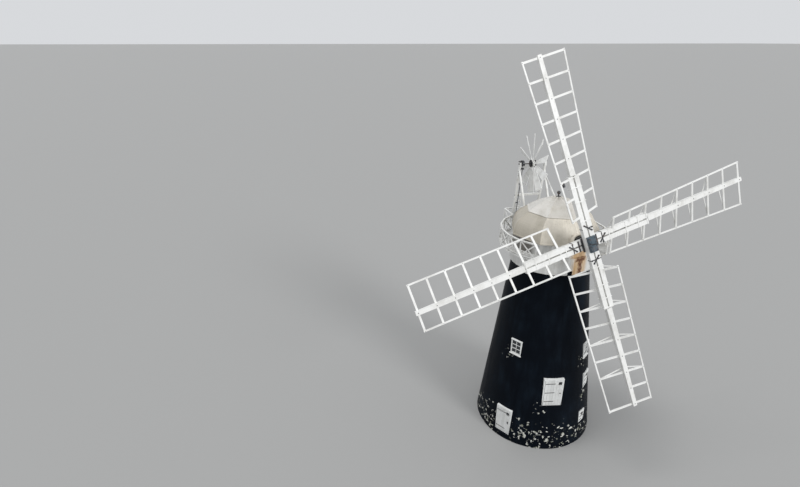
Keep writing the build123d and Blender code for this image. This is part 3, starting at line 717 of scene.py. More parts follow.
def leaf_frames(name):
    """For each leaf or frame of a CAD node: a matrix on its outer face, its width and its height."""
    found = []
    for points in loose_parts(name):
        azimuth = ground_door_azimuth if name == "ground_door" else azimuth_of(points)
        low, high = extent(points, azimuth)
        place = moved(outward_frame(azimuth, -low.y, (low.z + high.z) / 2), (low.x + high.x) / 2, 0, 0)
        found.append((place, high.x - low.x, high.z - low.z))
    return found


def board_door(name, body, node, paint):
    """Upright boards over each leaf, with the square light left open."""
    chance = random.Random(11)
    bm = toned_mesh()
    for place, width, height in leaf_frames(node):
        boards = max(3, round(width / door_board_width))
        board = width / boards
        light_left = width / 2 - light_size * 1.5
        for index in range(boards):
            x = -width / 2 + (index + 0.5) * board
            spans = [(-height / 2, height / 2)]
            if x + board / 2 > light_left + 0.001 and x - board / 2 < light_left + light_size:
                middle = height / 2 - light_drop * light_size
                spans = [(-height / 2, middle - light_size / 2), (middle + light_size / 2, height / 2)]
            tone = chance.uniform(0.0, 0.7)
            for low, high in spans:
                at = moved(place, x, -0.002, (low + high) / 2)
                soft_box(bm, at, (board - 0.009, 0.012, high - low - 0.004), 0.003, tone)
    finish_piece(name, bm, paint, body)


def lights(name, body, node, glass, black):
    """A near-black pane in each leaf's light, painted shade of the dark inside, with a black iron surround
    and cross.
    """
    panes = bmesh.new()
    trims = bmesh.new()
    pane, reach = light_size - 0.002, light_size / 2 + 0.012
    long, short = 2 * reach + 0.03, 2 * reach - 0.03
    surround = [(0, side * reach, long, 0.03) for side in (1, -1)]
    surround += [(side * reach, 0, 0.03, short) for side in (-1, 1)]
    for place, width, height in leaf_frames(node):
        middle = moved(place, width / 2 - light_size, 0, height / 2 - light_drop * light_size)
        soft_box(panes, moved(middle, 0, 0.018, 0), (pane, 0.006, pane), 0.001)
        for x, z, wide, high in surround:
            soft_box(trims, moved(middle, x, -0.013, z), (wide, 0.01, high), 0.002)
        for size in ((0.01, 0.01, light_size), (light_size, 0.01, 0.01)):
            soft_box(trims, moved(middle, 0, 0.004, 0), size, 0.002)
    finish_piece(name, panes, glass, body)
    finish_piece(name + "_trim", trims, black, body)


def latch(black):
    """A ring latch and plate on the ground door, and bolts through its straps."""
    bm = bmesh.new()
    place, width, height = leaf_frames("ground_door")[0]
    out = place.to_3x3() @ Vector((0, -1, 0))
    soft_box(bm, moved(place, width * 0.38, -0.011, -0.05), (0.07, 0.008, 0.2), 0.003)
    handle = place @ Vector((width * 0.38, -0.03, -0.03))
    turned(bm, handle, out, [(0.032, 0), (0.045, 0), (0.045, 0.012), (0.032, 0.012)], 16)
    rod(bm, handle + UP * 0.038 - out * 0.02, handle + UP * 0.038 + out * 0.016, 0.01, 8)
    for share in (-strap_share, strap_share):
        for x in (-0.3, -0.12, 0.06):
            bolt(bm, place @ Vector((width * x, -0.012, share * height)), out, 0.011)
    finish_piece("ground_door_latch", bm, black, "door")


def shut_door_ironwork(black):
    """Three straps with their bolts on each door that stays shut, and a hasp."""
    bm = bmesh.new()
    for place, width, height in leaf_frames("shut_door_leaves"):
        out = place.to_3x3() @ Vector((0, -1, 0))
        for share in (-strap_share, 0.0, strap_share):
            at = moved(place, -width * 0.2, -0.012, share * height)
            soft_box(bm, at, (width * 0.56, 0.008, 0.045), 0.002)
            for x in (-0.42, -0.28, -0.14, 0.0):
                bolt(bm, place @ Vector((width * x, -0.014, share * height)), out, 0.012)
        hasp = moved(place, width * 0.41, -0.012, -0.06)
        soft_box(bm, hasp, (0.11, 0.008, 0.04), 0.002)
        rod(bm, hasp.translation, hasp.translation + out * 0.035, 0.014, 10)
    finish_piece("shut_door_straps", bm, black, "tower")


def window_trim(paint):
    """A sloping sill, a head board and two side boards on each window."""
    bm = toned_mesh()
    for place, width, height in leaf_frames("window_frames"):
        sill = moved(place, 0, 0, -height / 2 - 0.02) @ Matrix.Rotation(0.12, 4, "X")
        soft_box(bm, sill, (width + 0.09, 0.15, 0.045), 0.008, 0.4)
        soft_box(bm, moved(place, 0, 0.03, height / 2 + 0.012), (width + 0.05, 0.12, 0.03), 0.006, 0.2)
        for side in (-1, 1):
            at = moved(place, side * (width / 2 - 0.03), -0.006, 0)
            soft_box(bm, at, (0.05, 0.018, height - 0.01), 0.004, 0.1)
    finish_piece("window_sills", bm, paint, "tower")


class WINDMILL_OT_joinery(bpy.types.Operator):
    """Boards, straps and latches of the doors, and the sills of the windows"""

    bl_idname = "windmill.joinery"
    bl_label = "Doors and windows"

    def execute(self, context):
        timber = context.scene.windmill_timber
        paint = painted_timber("Joinery paint", timber.joinery_color, 0.3, 1.6, (0.35, 0.33, 0.28))
        black = painted_iron("Door iron", context.scene.windmill_iron.dark_color)
        # Opaque glass whose near-black colour is painted shade of the dark inside
        glass, tree, surface = new_material("Window glass")
        ripple = noise_at(object_point(tree), 6, 2, 0.5)
        surface["Base Color"].default_value = rgba(glass_shade_color)
        shine = ramp(ripple, 0.3, 0.7, 0.04, 0.16)
        coat(tree, surface, {"Roughness": shine, "Height": ripple}, 0.15, 0.004)
        dress(paint, "ground_door", "shut_door_leaves", *opening_names)
        dress(glass, "window_panes")
        dress(black, "ground_door_straps")
        board_door("ground_door_boards", "door", "ground_door", paint)
        board_door("shut_door_boards", "tower", "shut_door_leaves", paint)
        lights("ground_door_light", "door", "ground_door", glass, black)
        lights("shut_door_lights", "tower", "shut_door_leaves", glass, black)
        latch(black)
        shut_door_ironwork(black)
        window_trim(paint)
        return {"FINISHED"}


# Cap

roof_axis = Vector((0, -0.05, 0))
eaves_radius = 2.58
roof_rings = ((0.0, 1.0), (0.214, 0.972), (0.405, 0.895), (0.629, 0.665), (0.85, 0.385), (1.0, 0.055))
crown_ring = 3
cap_wall_radius = 2.33
cap_wall_foot = 12.508
cap_wall_top = 13.26
# Each course of roof boards: from and to which ring, and how far off the roof
roof_courses = (((0.0, 3.02), 0.004), ((2.94, 4.97), 0.02))
roof_board_gap = 0.0035
roof_board_thickness = 0.014
shaft_hole = 0.312
petticoat_count = 92
broken_reach = 4.2
tail_reach = 26
# Colour of the painted shade on the roof's facets
facet_shade_color = (0.33, 0.3, 0.24)
cap_grime = (0.3, 0.27, 0.2)
streak_x = 0.5
# Height of the painted shadow band along the petticoat's top, at deck level
shadow_band_z = 12.42


def roof_corner(level, azimuth):
    """A corner of the eight-sided roof, on one of its rings or on the curve between two."""
    last = len(roof_rings) - 1
    index = min(int(level), last - 1)
    before, start, end, after = (
        Vector(roof_rings[max(0, min(last, index + step))]) for step in (-1, 0, 1, 2)
    )
    t = level - index
    blend = (
        2 * start
        + (end - before) * t
        + (2 * before - 5 * start + 4 * end - after) * t**2
        + (3 * start - before - 3 * end + after) * t**3
    )
    share, spread = blend / 2
    return polar(azimuth, eaves_radius * spread, eaves_z + share * (crown_z - eaves_z)) + roof_axis


def roof_normal(level, azimuth):
    """Square to the roof at a level, facing outwards."""
    level = min(max(level, 0.02), len(roof_rings) - 1.02)
    slope = roof_corner(level + 0.02, azimuth) - roof_corner(level - 0.02, azimuth)
    return polar(azimuth + 90, 1).cross(slope).normalized()


def from_shaft(point):
    """How far a point is from the windshaft's axis."""
    offset = point - hub
    return (offset - shaft_forward * offset.dot(shaft_forward)).length


def stained_paint(name, timber, color, amount, roof=False, shaded=False):
    """Weathered paint with the rust run; the roof is paler above its lip.

    The cap wall is painted dark grey, as painted shade under the eaves, all round except at the front.
    """
    material, tree, surface = new_material(name)
    point = object_point(tree)
    split = add_node(tree, "ShaderNodeSeparateXYZ", {"Vector": point})
    x, y, z = (Value(split, axis) for axis in "XYZ")
    tone = attribute(tree, "tone")
    base = mix_color(tone, color, darker(color, full_tone))
    if shaded:
        # Painted shade under the eaves, everywhere but at the front of the cap wall
        eaves_shade = mix_color(tone, timber.shaded_color, darker(timber.shaded_color, 0.7))
        base = mix_color(ramp(y, -1.5, -1.15), base, eaves_shade)
    if roof:
        lip_z = roof_corner(crown_ring, 0).z
        crown = ramp(z, lip_z - 0.01, lip_z + 0.02)
        base = mix_color(crown, base, timber.crown_color)
        # Painted shade: the crown's front and right, and the steep sides on the left and back below the lip,
        # are painted darker
        beside = ramp(y - x, -0.08, 0.0)
        painted_facet_shade = crown * (1.0 - beside) + beside * (1.7 - crown * 1.7)
        base = mix_color(painted_facet_shade * timber.facet_shade, base, facet_shade_color)
    given = {"Vector": point, "Paint": base, "Grime": rgba(cap_grime), "Amount": amount, "Scale": 0.9}
    paint = place_group(tree, "Weathered Paint", given)
    stain, grease_and_shadow = rust_masks(point, x, y, z)
    color = mix_color(stain, paint["Color"], timber.stain_color)
    # Grease run and painted shadow band, in one dark colour
    paint["Color"] = mix_color(grease_and_shadow, color, timber.grease_and_shadow_color)
    coat(tree, surface, paint, 0.4, 0.004)
    return material


def rust_masks(point, x, y, z):
    """Rust and grease run down the front from the windshaft's neck: the stain, and a dark grease run joined
    by a painted shadow band along the petticoat's top.
    """
    wander = noise_at(stretched(point, (5, 5, 1.2)), 1.0, 5, 0.6)
    side = x + (wander - 0.5) * 0.45
    across = ramp(side, -0.15, 0.15) * ramp(side, 0.75, 1.05, 1.0, 0.0)
    mask = across * (ramp(y, -2.1, -1.8, 1.0, 0.0) * ramp(z, 12.8, 13.3, 1.0, 0.0))
    stain = (mask * ramp(wander, 0.25, 0.6, 0.55, 0.95)).clamped()
    patchy = noise_at(point, 5.5, 4, 0.6)
    sway = (patchy - 0.5) * 0.3
    from_run = (x + sway - streak_x).calc("ABSOLUTE")
    from_shadow_band = (z + sway - shadow_band_z).calc("ABSOLUTE")
    run = ramp(from_run, 0.08, 0.2, 1.0, 0.0) * ramp(z, 12.35, 12.6, 1.0, 0.25)
    # Painted shadow: a dark band along the petticoat's top at deck level
    shadow_band = ramp(from_shadow_band, 0.05, 0.15, 1.0, 0.0) * ramp(from_run, 0.2, 0.42, 1.0, 0.0)
    grease_and_shadow = run.calc("MAXIMUM", shadow_band) * mask
    return stain, (grease_and_shadow * ramp(patchy, 0.3, 0.5, 0.6, 1.0)).clamped()


def roof_boards(cream, timber):
    """Tapered boards up each facet, and a crown course that laps over them."""
    chance = random.Random(17)
    bm = toned_mesh()
    count = timber.facet_boards
    for azimuth in range(0, 360, 45):
        for levels, lift in roof_courses:
            rows = 44 if azimuth in (0, 315) and levels[0] == 0 else 12
            for index in range(count):
                sides = (index / count, (index + 1) / count)
                board = roof_board(azimuth, sides, levels, lift, rows)
                mark_faces(board.verts, board.faces.layers.float["tone"], chance.uniform(0.0, 0.3))
                join(bm, board)
    finish_piece("roof_boards", bm, cream, "cap")


def roof_board(azimuth, sides, levels, lift, rows):
    """One board bent up its facet, cut off short at the shaft's hole."""
    board = toned_mesh()
    bmesh.ops.create_cube(board, size=2)
    long_edges = [e for e in board.edges if abs(e.verts[0].co.y - e.verts[1].co.y) > 1]
    bmesh.ops.subdivide_edges(board, edges=long_edges, cuts=rows - 1, use_grid_fill=True)
    placed = []
    for vert in board.verts:
        along_board = (vert.co.y + 1) / 2
        level = levels[0] + along_board * (levels[1] - levels[0])
        left, right = roof_corner(level, azimuth), roof_corner(level, azimuth + 45)
        share = sides[0] if vert.co.x < 0 else sides[1]
        gap = (right - left).normalized() * -vert.co.x * roof_board_gap
        out = roof_normal(level, azimuth + 22.5) * (lift + (vert.co.z + 1) / 2 * roof_board_thickness)
        vert.co = left.lerp(right, share) + gap + out
        placed.append((vert, round(along_board * rows)))
    inside = {row for vert, row in placed if from_shaft(vert.co) < shaft_hole and vert.co.y < 0}
    if inside:
        bmesh.ops.delete(board, geom=[vert for vert, row in placed if row in inside], context="VERTS")
        bmesh.ops.holes_fill(board, edges=[e for e in board.edges if e.is_boundary])
    bmesh.ops.recalc_face_normals(board, faces=board.faces)
    return board


def roof_trim(cream, timber):
    """Strips on the ridges, a lip under the crown, an eaves board and the collar round the shaft."""
    bm = toned_mesh()
    for azimuth in range(0, 360, 45):
        across = polar(azimuth + 90, 1)
        for step in range(4 if azimuth == 0 else 0, 15):
            lift = 0.018 if step < 9 else 0.034
            start, end = (
                roof_corner(level, azimuth) + roof_normal(level, azimuth) * lift
                for level in (step / 3, (step + 1) / 3)
            )
            reach = (end - start).normalized() * 0.004
            bar(bm, start - reach, end + reach, across, timber.ridge_width, 0.022, 0.005)
        crown_lip(bm, azimuth, timber.lip_width, 0.05)
        start, end = roof_corner(0, azimuth), roof_corner(0, azimuth + 45)
        out = polar(azimuth + 22.5, 0.012)
        bar(bm, start + out + UP * 0.03, end + out + UP * 0.03, UP, 0.09, 0.03, 0.006)
    front = shaft_at(-2.76)
    outline = [(0.305, 0), (0.355, 0), (0.355, 0.34), (0.305, 0.34)]
    turned(bm, front, shaft_at(-2.42) - front, outline, 32)
    finish_piece("roof_trim", bm, cream, "cap")


def crown_lip(bm, azimuth, width, thickness):
    """A board along the crown's lower edge, lying on the facet above and lapping the one below."""
    start, end, left, right = (
        roof_corner(ring, azimuth + turn) for ring in (crown_ring, crown_ring + 1) for turn in (0, 45)
    )
    slope = ((left + right) / 2 - (start + end) / 2).normalized()
    out = (end - start).cross(slope).normalized()
    lift = slope * (width / 2 - 0.035) + out * (thickness / 2 + 0.004)
    bar(bm, start + lift, end + lift, slope, width, thickness, 0.006)


def wall_boards(paint, timber):
    """Upright boards round the cap wall."""
    chance = random.Random(5)
    count = round(tau * cap_wall_radius / timber.wall_board_width)
    width = tau * cap_wall_radius / count
    bm = toned_mesh()
    middle = (cap_wall_foot + cap_wall_top) / 2
    for index in range(count):
        place = outward_frame(index * 360 / count, cap_wall_radius + 0.005, middle)
        size = (width - 0.008, 0.018, cap_wall_top - cap_wall_foot - 0.008)
        soft_box(bm, place, size, 0.003, chance.uniform(0.0, 0.8))
    finish_piece("cap_wall_boards", bm, paint, "cap")


def petticoat_boards(paint):
    """Upright boards round the petticoat, broken off short at the front."""
    low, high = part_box("petticoat")
    radius = high.x
    chance = random.Random(3)
    count = petticoat_count
    width = tau * radius / count
    bm = toned_mesh()
    for index in range(count):
        azimuth = (index + 0.5) * 360 / count
        bottom = low.z - chance.uniform(0.0, 0.012)
        if abs(turn_from(-2, azimuth)) < broken_reach:
            bottom = low.z + 0.24 + chance.uniform(0, 0.04)
        top = high.z - 0.006
        if abs(azimuth - 180) < tail_reach:
            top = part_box("cap_frame")[0].z + 0.13
        place = outward_frame(azimuth, radius + 0.006, (bottom + top) / 2)
        soft_box(bm, place, (width - 0.007, 0.016, top - bottom), 0.003, chance.uniform(0.0, 0.5))
    finish_piece("petticoat_boards", bm, paint, "cap")


def fastenings(black):
    """Coach bolts of the cap frame, and the nails of the cap wall."""
    bm = bmesh.new()
    low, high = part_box("cap_frame")
    for side in (-1, 1):
        for x in (-0.06, 0.06):
            bolt(bm, Vector((side * 0.85 + x, high.y, low.z + 0.36)), Vector((0, 1, 0)), 0.02)
    for azimuth in range(0, 360, 15):
        for z in (cap_wall_foot + 0.06, cap_wall_top - 0.06):
            bolt(bm, polar(azimuth, cap_wall_radius + 0.014, z), polar(azimuth, 1), 0.009)
    finish_piece("cap_bolts", bm, black, "cap")


class WINDMILL_OT_cap(bpy.types.Operator):
    """Paint of the cap, boards, ridges and lip of its roof, and boards of its wall and petticoat"""

    bl_idname = "windmill.cap"
    bl_label = "Cap"

    def execute(self, context):
        timber = context.scene.windmill_timber
        iron = context.scene.windmill_iron
        cream = stained_paint("Cap paint", timber, timber.cap_color, 0.45, roof=True)
        white = stained_paint("Petticoat paint", timber, timber.gallery_color, 0.45)
        # The cap wall's paint carries the painted shade under the eaves
        eaves_shade = stained_paint("Cap wall paint", timber, timber.gallery_color, 0.2, shaded=True)
        black = painted_iron("Cap iron", iron.dark_color, 0.6)
        dress(cream, "cap_roof_left", "cap_roof_right")
        dress(eaves_shade, "cap_wall")
        dress(white, "petticoat", "cap_ring")
        dress(bare_wood("Cap oak", timber.oak_color, (14, 1.2, 14)), "cap_frame", "curb_ring")
        dress(black, "shaft_bearings", "cap_finial")
        roof_boards(cream, timber)
        roof_trim(cream, timber)
        wall_boards(eaves_shade, timber)
        petticoat_boards(white)
        fastenings(black)
        return {"FINISHED"}


def shaft_at(y):
    """A point on the windshaft's axis."""
    return hub + shaft_forward * ((y - hub.y) / shaft_forward.y)


# Gallery

gallery_middle = 2.845
rail_radius = 3.09
platform_half = 1.36
platform_back = 4.09


def bracket_azimuths(side):
    """How far round the brackets of one side stand, read from the frame."""
    azimuths = [azimuth_of(points) for points in loose_parts("gallery_brackets")]
    return sorted(abs(azimuth) for azimuth in azimuths if azimuth * side > 0)


def deck_boards(paint, timber):
    """Boards across both sides of the gallery and along the platform."""
    chance = random.Random(13)
    bm = toned_mesh()
    board, thick = timber.deck_board_width, 0.018
    level = deck_top + thick / 2 - 0.002
    azimuth = 46.0
    while azimuth < 152:
        for side in (-1, 1):
            place = outward_frame(side * azimuth, gallery_middle, level)
            soft_box(bm, place, (board - 0.009, 0.55, thick), 0.003, chance.uniform(0.1, 1.0))
        azimuth += degrees(board / gallery_middle)
    y = 2.85
    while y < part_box("gallery_deck")[1].y - 0.05:
        place = Matrix.Translation((0, y, level))
        soft_box(bm, place, (2.8, board - 0.009, thick), 0.003, chance.uniform(0.1, 1.0))
        y += board
    finish_piece("deck_boards", bm, paint, "cap")


def rail_boards(paint):
    """Boards nailed over the rails' braces, and a cap board on the hand rail."""
    bm = toned_mesh()
    runs = []
    for side in (-1, 1):
        mine = bracket_azimuths(side)
        mine.append(2 * mine[-1] - mine[-2])
        runs.append([polar(side * azimuth, rail_radius, deck_top) for azimuth in mine])
    join_y = runs[0][-1].y + 0.09
    half, back = platform_half, platform_back
    corners = ((-half, join_y), (-half, back), (0, back), (half, back), (half, join_y))
    runs.append([Vector((x, y, deck_top)) for x, y in corners])
    low, high, cap_board = UP * 0.09, UP * 0.92, UP * 0.962
    for start, end in (pair for run in runs for pair in zip(run, run[1:])):
        out = (end - start).cross(UP).normalized()
        if out.dot((start + end) / 2 - Vector((0, 1, 0))) < 0:
            out = -out
        face = out * 0.029
        inward = (end - start).normalized() * 0.04
        left, right = start + inward, end - inward
        bar(bm, left + low + face, right + high + face, UP, 0.072, 0.02, 0.004)
        bar(bm, left + high + face * 1.7, right + low + face * 1.7, UP, 0.072, 0.02, 0.004)
        bar(bm, left + low + face, right + low + face, UP, 0.07, 0.02, 0.004)
        bar(bm, start + cap_board, end + cap_board, out, 0.1, 0.024, 0.005)
    finish_piece("rail_boards", bm, paint, "cap")


def ladder_and_stay(paint):
    """A ladder beside the left post, and the stay from the right frame to the crown."""
    bm = toned_mesh()
    length = 1.9
    foot, head = Vector((-0.47, 3.93, deck_top)), Vector((-0.47, 3.74, deck_top + length))
    bar(bm, foot, head, RIGHT, 0.05, 0.07, 0.006)
    for height in (0.35, 0.75, 1.15, 1.55):
        point = foot.lerp(head, height / length)
        bar(bm, point, point + Vector((-0.34, 0, 0)), UP, 0.045, 0.045, 0.006)
    stay_head, stay_foot = Vector((0.85, 3.19, 15.75)), Vector((0.12, 0.55, 15.21))
    bar(bm, stay_head, stay_foot, UP, 0.1, 0.08, 0.01)
    shoe = Matrix.Translation(stay_foot) @ Matrix.Rotation(radians(-22), 4, "X")
    soft_box(bm, shoe, (0.2, 0.24, 0.05), 0.01)
    finish_piece("fan_ladder_and_stay", bm, paint, "cap")


def bolts(black):
    """Bolts in the brackets, where the rails' braces cross, and along the fan frames."""
    bm = bmesh.new()
    for side in (-1, 1):
        mine = bracket_azimuths(side)
        for azimuth in mine:
            for face in (-1, 1):
                out = polar(side * azimuth + 90, face)
                for radius, drop in ((2.5, 0.3), (2.62, 0.1), (2.86, 0.06)):
                    bolt(bm, polar(side * azimuth, radius, deck_top - 0.05 - drop) + out * 0.03, out, 0.012)
            point = polar(side * azimuth, rail_radius + 0.034, deck_top + 0.92)
            bolt(bm, point, polar(side * azimuth, 1), 0.012)
        for azimuth, after in zip(mine, mine[1:]):
            middle = side * (azimuth + after) / 2
            radius = rail_radius * cos(radians((after - azimuth) / 2))
            bolt(bm, polar(middle, radius + 0.058, deck_top + 0.505), polar(middle, 1), 0.013)
        places = [
            (3.98 - 0.5 * height / 3.92, deck_top + height + lift)
            for height in (0.65, 1.95)
            for lift in (-0.03, 0.03)
        ]
        places += [(3.51 - lift * 0.13, 16.05 - lift) for lift in (0.0, 0.12, 0.24)]
        for y, z in places:
            bolt(bm, Vector((side * 0.915, y, z)), Vector((side, 0, 0)), 0.016)
    finish_piece("gallery_bolts", bm, black, "cap")


class WINDMILL_OT_gallery(bpy.types.Operator):
    """Paint, deck boards and bolts of the gallery and its platform, with the fan's ladder and stay"""

    bl_idname = "windmill.gallery"
    bl_label = "Gallery"

    def execute(self, context):
        timber = context.scene.windmill_timber
        iron = context.scene.windmill_iron
        paint = painted_timber("Gallery paint", timber.gallery_color, 0.45, 1.4)
        dress(
            paint,
            "gallery_deck", "gallery_brackets", "gallery_rail_left", "gallery_rail_right", "platform_rail",
            "fan_frame_left", "fan_frame_right", "fan_crossbeams",
        )
        deck_boards(paint, timber)
        rail_boards(paint)
        ladder_and_stay(paint)
        bolts(painted_iron("Gallery iron", iron.dark_color, 0.6))
        return {"FINISHED"}


# Sails

sail_angle = 106.8
sail_names = ("top", "left", "bottom", "right")
pair_offset = 0.175
first_bar = 1.571
bar_spacing = 1.0176
bar_count = 9
edge_widths = (1.003, -1.4815)
end_weather = (28.4, 7.3)
strut_lead = (0.03, 0.03, 0.2, 0.2)
stock_reach = 3.7
stock_end = 3.72
sail_tip = 9.85
missing_bar = (2, 7)


def arm(index):
    """Directions of one arm: outwards and towards its leading side."""
    angle = radians(sail_angle + 90 * index)
    outward = RIGHT * cos(angle) + shaft_up * sin(angle)
    return outward, shaft_forward.cross(outward)


def arm_point(index, s, across, ahead):
    """A place on an arm: how far out from the hub, across the arm and ahead of it."""
    outward, leading = arm(index)
    return hub + outward * s + leading * across + shaft_forward * ahead


def arm_bar(bm, index, start, end, side, width, thickness, bevel):
    """A bar between two places on an arm."""
    bar(bm, arm_point(index, *start), arm_point(index, *end), side, width, thickness, bevel)


def pair_centre(index):
    return pair_offset if index % 2 == 0 else -pair_offset


def edge_point(index, number, width):
    """Where a bar meets the rail on one edge of its sail."""
    ends = []
    for place, weather in zip((0, bar_count - 1), end_weather):
        angle = radians(weather)
        s = first_bar + bar_spacing * place
        ends.append(arm_point(index, s, width * cos(angle), pair_centre(index) + width * sin(angle)))
    return ends[0].lerp(ends[1], number / (bar_count - 1))


def poll_paint(iron):
    """Blue-grey iron on the front of the poll end, black behind the front stock."""
    material, tree, surface = new_material("Poll paint")
    point = object_point(tree)
    offset = Value(add_node(tree, "ShaderNodeVectorMath", {0: point, 1: hub}, operation="SUBTRACT"))
    product = {0: offset, 1: shaft_forward}
    ahead = Value(add_node(tree, "ShaderNodeVectorMath", product, operation="DOT_PRODUCT"), "Value")
    paint = mix_color(ramp(ahead, 0.29, 0.31), iron.dark_color, iron.poll_color)
    iron_coat(tree, surface, point, paint, 0.25)
    return material


def struts(paint, timber):
    """Thin struts from the bars' outer ends back to the whip, nearer to the hub."""
    bm = toned_mesh()
    for index in range(4):
        outward = arm(index)[0]
        for width in edge_widths:
            side = 1 if width > 0 else -1
            for number in range(0, 8, 2) if width > 0 or index == 2 else range(8):
                s = first_bar + number * bar_spacing - strut_lead[index]
                start = edge_point(index, number, width * 0.97) - shaft_forward * 0.03
                across = 0.2 if s < stock_reach else 0.1
                end = arm_point(index, s, side * across, pair_centre(index) - 0.13)
                bar(bm, start, end, outward, timber.strut_width, 0.036, 0.004)
    finish_piece("sail_struts", bm, paint, "sails")


def white_clamps(paint, iron):
    """Painted plates across both faces of each stock, drawn together by bolts."""
    bm = toned_mesh()
    half_depth, half_width = 0.14, 0.29
    for index in range(4):
        outward = arm(index)[0]
        centre = pair_centre(index)
        for s in (1.3, 2.33, 3.1, 3.64):
            for face in (-1, 1):
                ahead, reach = centre + face * (half_depth + 0.007), half_width + 0.03
                arm_bar(bm, index, (s, -reach, ahead), (s, reach, ahead), outward, 0.06, 0.014, 0.003)
                for across in (-half_width, half_width):
                    point = arm_point(index, s, across, ahead + face * 0.006)
                    bolt(bm, point, shaft_forward * face, iron.bolt_size * 0.8)
            for across in (-half_width - 0.012, half_width + 0.012):
                start = arm_point(index, s, across, centre - half_depth - 0.02)
                rod(bm, start, arm_point(index, s, across, centre + half_depth + 0.02), 0.011)
    finish_piece("stock_clamps", bm, paint, "sails")


def hub_straps(black, iron):
    """Black straps on the arms beside the poll end: one across, one slanting, and a shackle."""
    bm = bmesh.new()
    for index in range(4):
        outward, leading = arm(index)
        centre = pair_centre(index)
        face = centre + 0.147
        slant = 1 if index in (0, 3) else -1
        inner, outer = (0.72, -slant * 0.2), (1.06, slant * 0.16)
        low, high = (-0.27, 0.27) if index else (-0.27, 0.02)
        arm_bar(bm, index, (*inner, face + 0.012), (*outer, face + 0.012), leading, 0.07, 0.014, 0.003)
        arm_bar(bm, index, (0.88, low, face), (0.88, high, face), outward, 0.055, 0.014, 0.003)
        for s, across in (inner, outer, (0.88, low + 0.03)):
            bolt(bm, arm_point(index, s, across, face + 0.014), shaft_forward, iron.bolt_size * 1.3)
        if index % 2:
            arm_bar(bm, index, (0.53, -0.3, face), (0.53, 0.3, face), outward, 0.09, 0.016, 0.003)
            for across in (-0.25, 0.0, 0.25):
                bolt(bm, arm_point(index, 0.53, across, face + 0.008), shaft_forward, iron.bolt_size)
        for across in (-0.302, 0.302):
            start = arm_point(index, 0.88, across, centre - 0.16)
            rod(bm, start, arm_point(index, 0.88, across, centre + 0.165), 0.014)
    outward, leading = arm(0)
    block = edge_point(0, 2, 0.8) - outward * 0.13
    bar(bm, block - outward * 0.11, block + outward * 0.11, leading, 0.14, 0.1, 0.03)
    bar(bm, block + outward * 0.08, edge_point(0, 2, 0.86), leading, 0.02, 0.02)
    finish_piece("hub_straps", bm, black, "sails")


def bar_bolts(black):
    """A bolt at each bar's crossing with its whip, and small ones at its outer ends."""
    bm = bmesh.new()
    for index in range(4):
        for number in range(bar_count):
            s = first_bar + number * bar_spacing
            if s > stock_end:
                share = (s - stock_end) / (sail_tip - stock_end)
                ahead = pair_centre(index) + 0.14 - 0.05 * share
                bolt(bm, arm_point(index, s, 0, ahead), shaft_forward, 0.016)
            for width in edge_widths:
                if (index, number) != missing_bar or width > 0:
                    point = edge_point(index, number, width) + shaft_forward * 0.028
                    bolt(bm, point, shaft_forward, 0.011)
    finish_piece("bar_bolts", bm, black, "sails")


def poll_plates(poll, black):
    """Two raised plates on the poll end with a black bar between them, painted shade of the gap, and their
    bolts.
    """
    plates = bmesh.new()
    iron = bmesh.new()
    outward, leading = arm(0)
    front = pair_offset + 0.14 + 0.14
    for side in (-1, 1):
        for low, high, ahead, width, thickness, bevel in (
            (0.04, 0.39, front + 0.014, 0.39, 0.036, 0.01),
            (0.1, 0.33, front + 0.04, 0.24, 0.03, 0.012),
        ):
            start, end = (side * low, 0, ahead), (side * high, 0, ahead)
            arm_bar(plates, 0, start, end, leading, width, thickness, bevel)
        for s in (0.09, 0.34):
            for across in (-0.155, 0.155):
                bolt(iron, arm_point(0, side * s, across, front + 0.032), shaft_forward, 0.021)
    # Painted shade: a black bar fills the gap between the plates
    gap_shade_ahead = front + 0.03
    arm_bar(iron, 0, (-0.05, -0.235, gap_shade_ahead), (0.05, 0.235, gap_shade_ahead), outward, 0.045, 0.03, 0.004)
    finish_piece("poll_plates", plates, poll, "sails")
    finish_piece("poll_bolts", iron, black, "sails")


class WINDMILL_OT_sails(bpy.types.Operator):
    """Paint and ironwork of the stocks, whips and lattices"""

    bl_idname = "windmill.sails"
    bl_label = "Sails"

    def execute(self, context):
        timber = context.scene.windmill_timber
        iron = context.scene.windmill_iron
        paint = painted_timber("Sail paint", timber.sail_color)
        names = [f"{part}_{side}" for part in ("whip", "lattice") for side in sail_names]
        dress(paint, "front_stock", "rear_stock", *names)
        black = painted_iron("Sail iron", iron.dark_color, 0.45)
        poll = poll_paint(iron)
        dress(painted_iron("Shaft iron", iron.dark_color, 0.6), "windshaft")
        dress(poll, "poll_end")
        struts(paint, timber)
        white_clamps(paint, iron)
        hub_straps(black, iron)
        bar_bolts(black)
        poll_plates(poll, black)
        return {"FINISHED"}


# Fan

blade_count = 10
first_blade = -3
blade_pitch = 25
blade_root, blade_tip = 0.115, 0.26


def blade_frame(index):
    """Directions of one blade: outwards, across its board, and square to it."""
    turn = Matrix.Rotation(radians(360 * index / blade_count + first_blade), 3, "X")
    lean = radians(90 - blade_pitch)
    outward = turn @ UP
    across = turn @ Vector((cos(lean), sin(lean), 0))
    return outward, across, across.cross(outward)


def battens(paint):
    """Three battens across each blade, on both faces, and edging strips."""
    bm = toned_mesh()
    for index in range(blade_count):
        outward, across, square = blade_frame(index)
        for radius in (0.6, 1.18, 1.76):
            half = blade_root + (blade_tip - blade_root) * (radius - 0.42) / 1.43 - 0.01
            for face in (-1, 1):
                middle = fan_centre + outward * radius + square * face * 0.02
                bar(bm, middle - across * half, middle + across * half, outward, 0.05, 0.016, 0.004)
        for side in (-1, 1):
            start = fan_centre + outward * 0.46 + across * side * 0.105
            end = fan_centre + outward * 1.83 + across * side * 0.243
            bar(bm, start, end, across, 0.03, 0.038, 0.005)
    finish_piece("fan_battens", bm, paint, "fan")


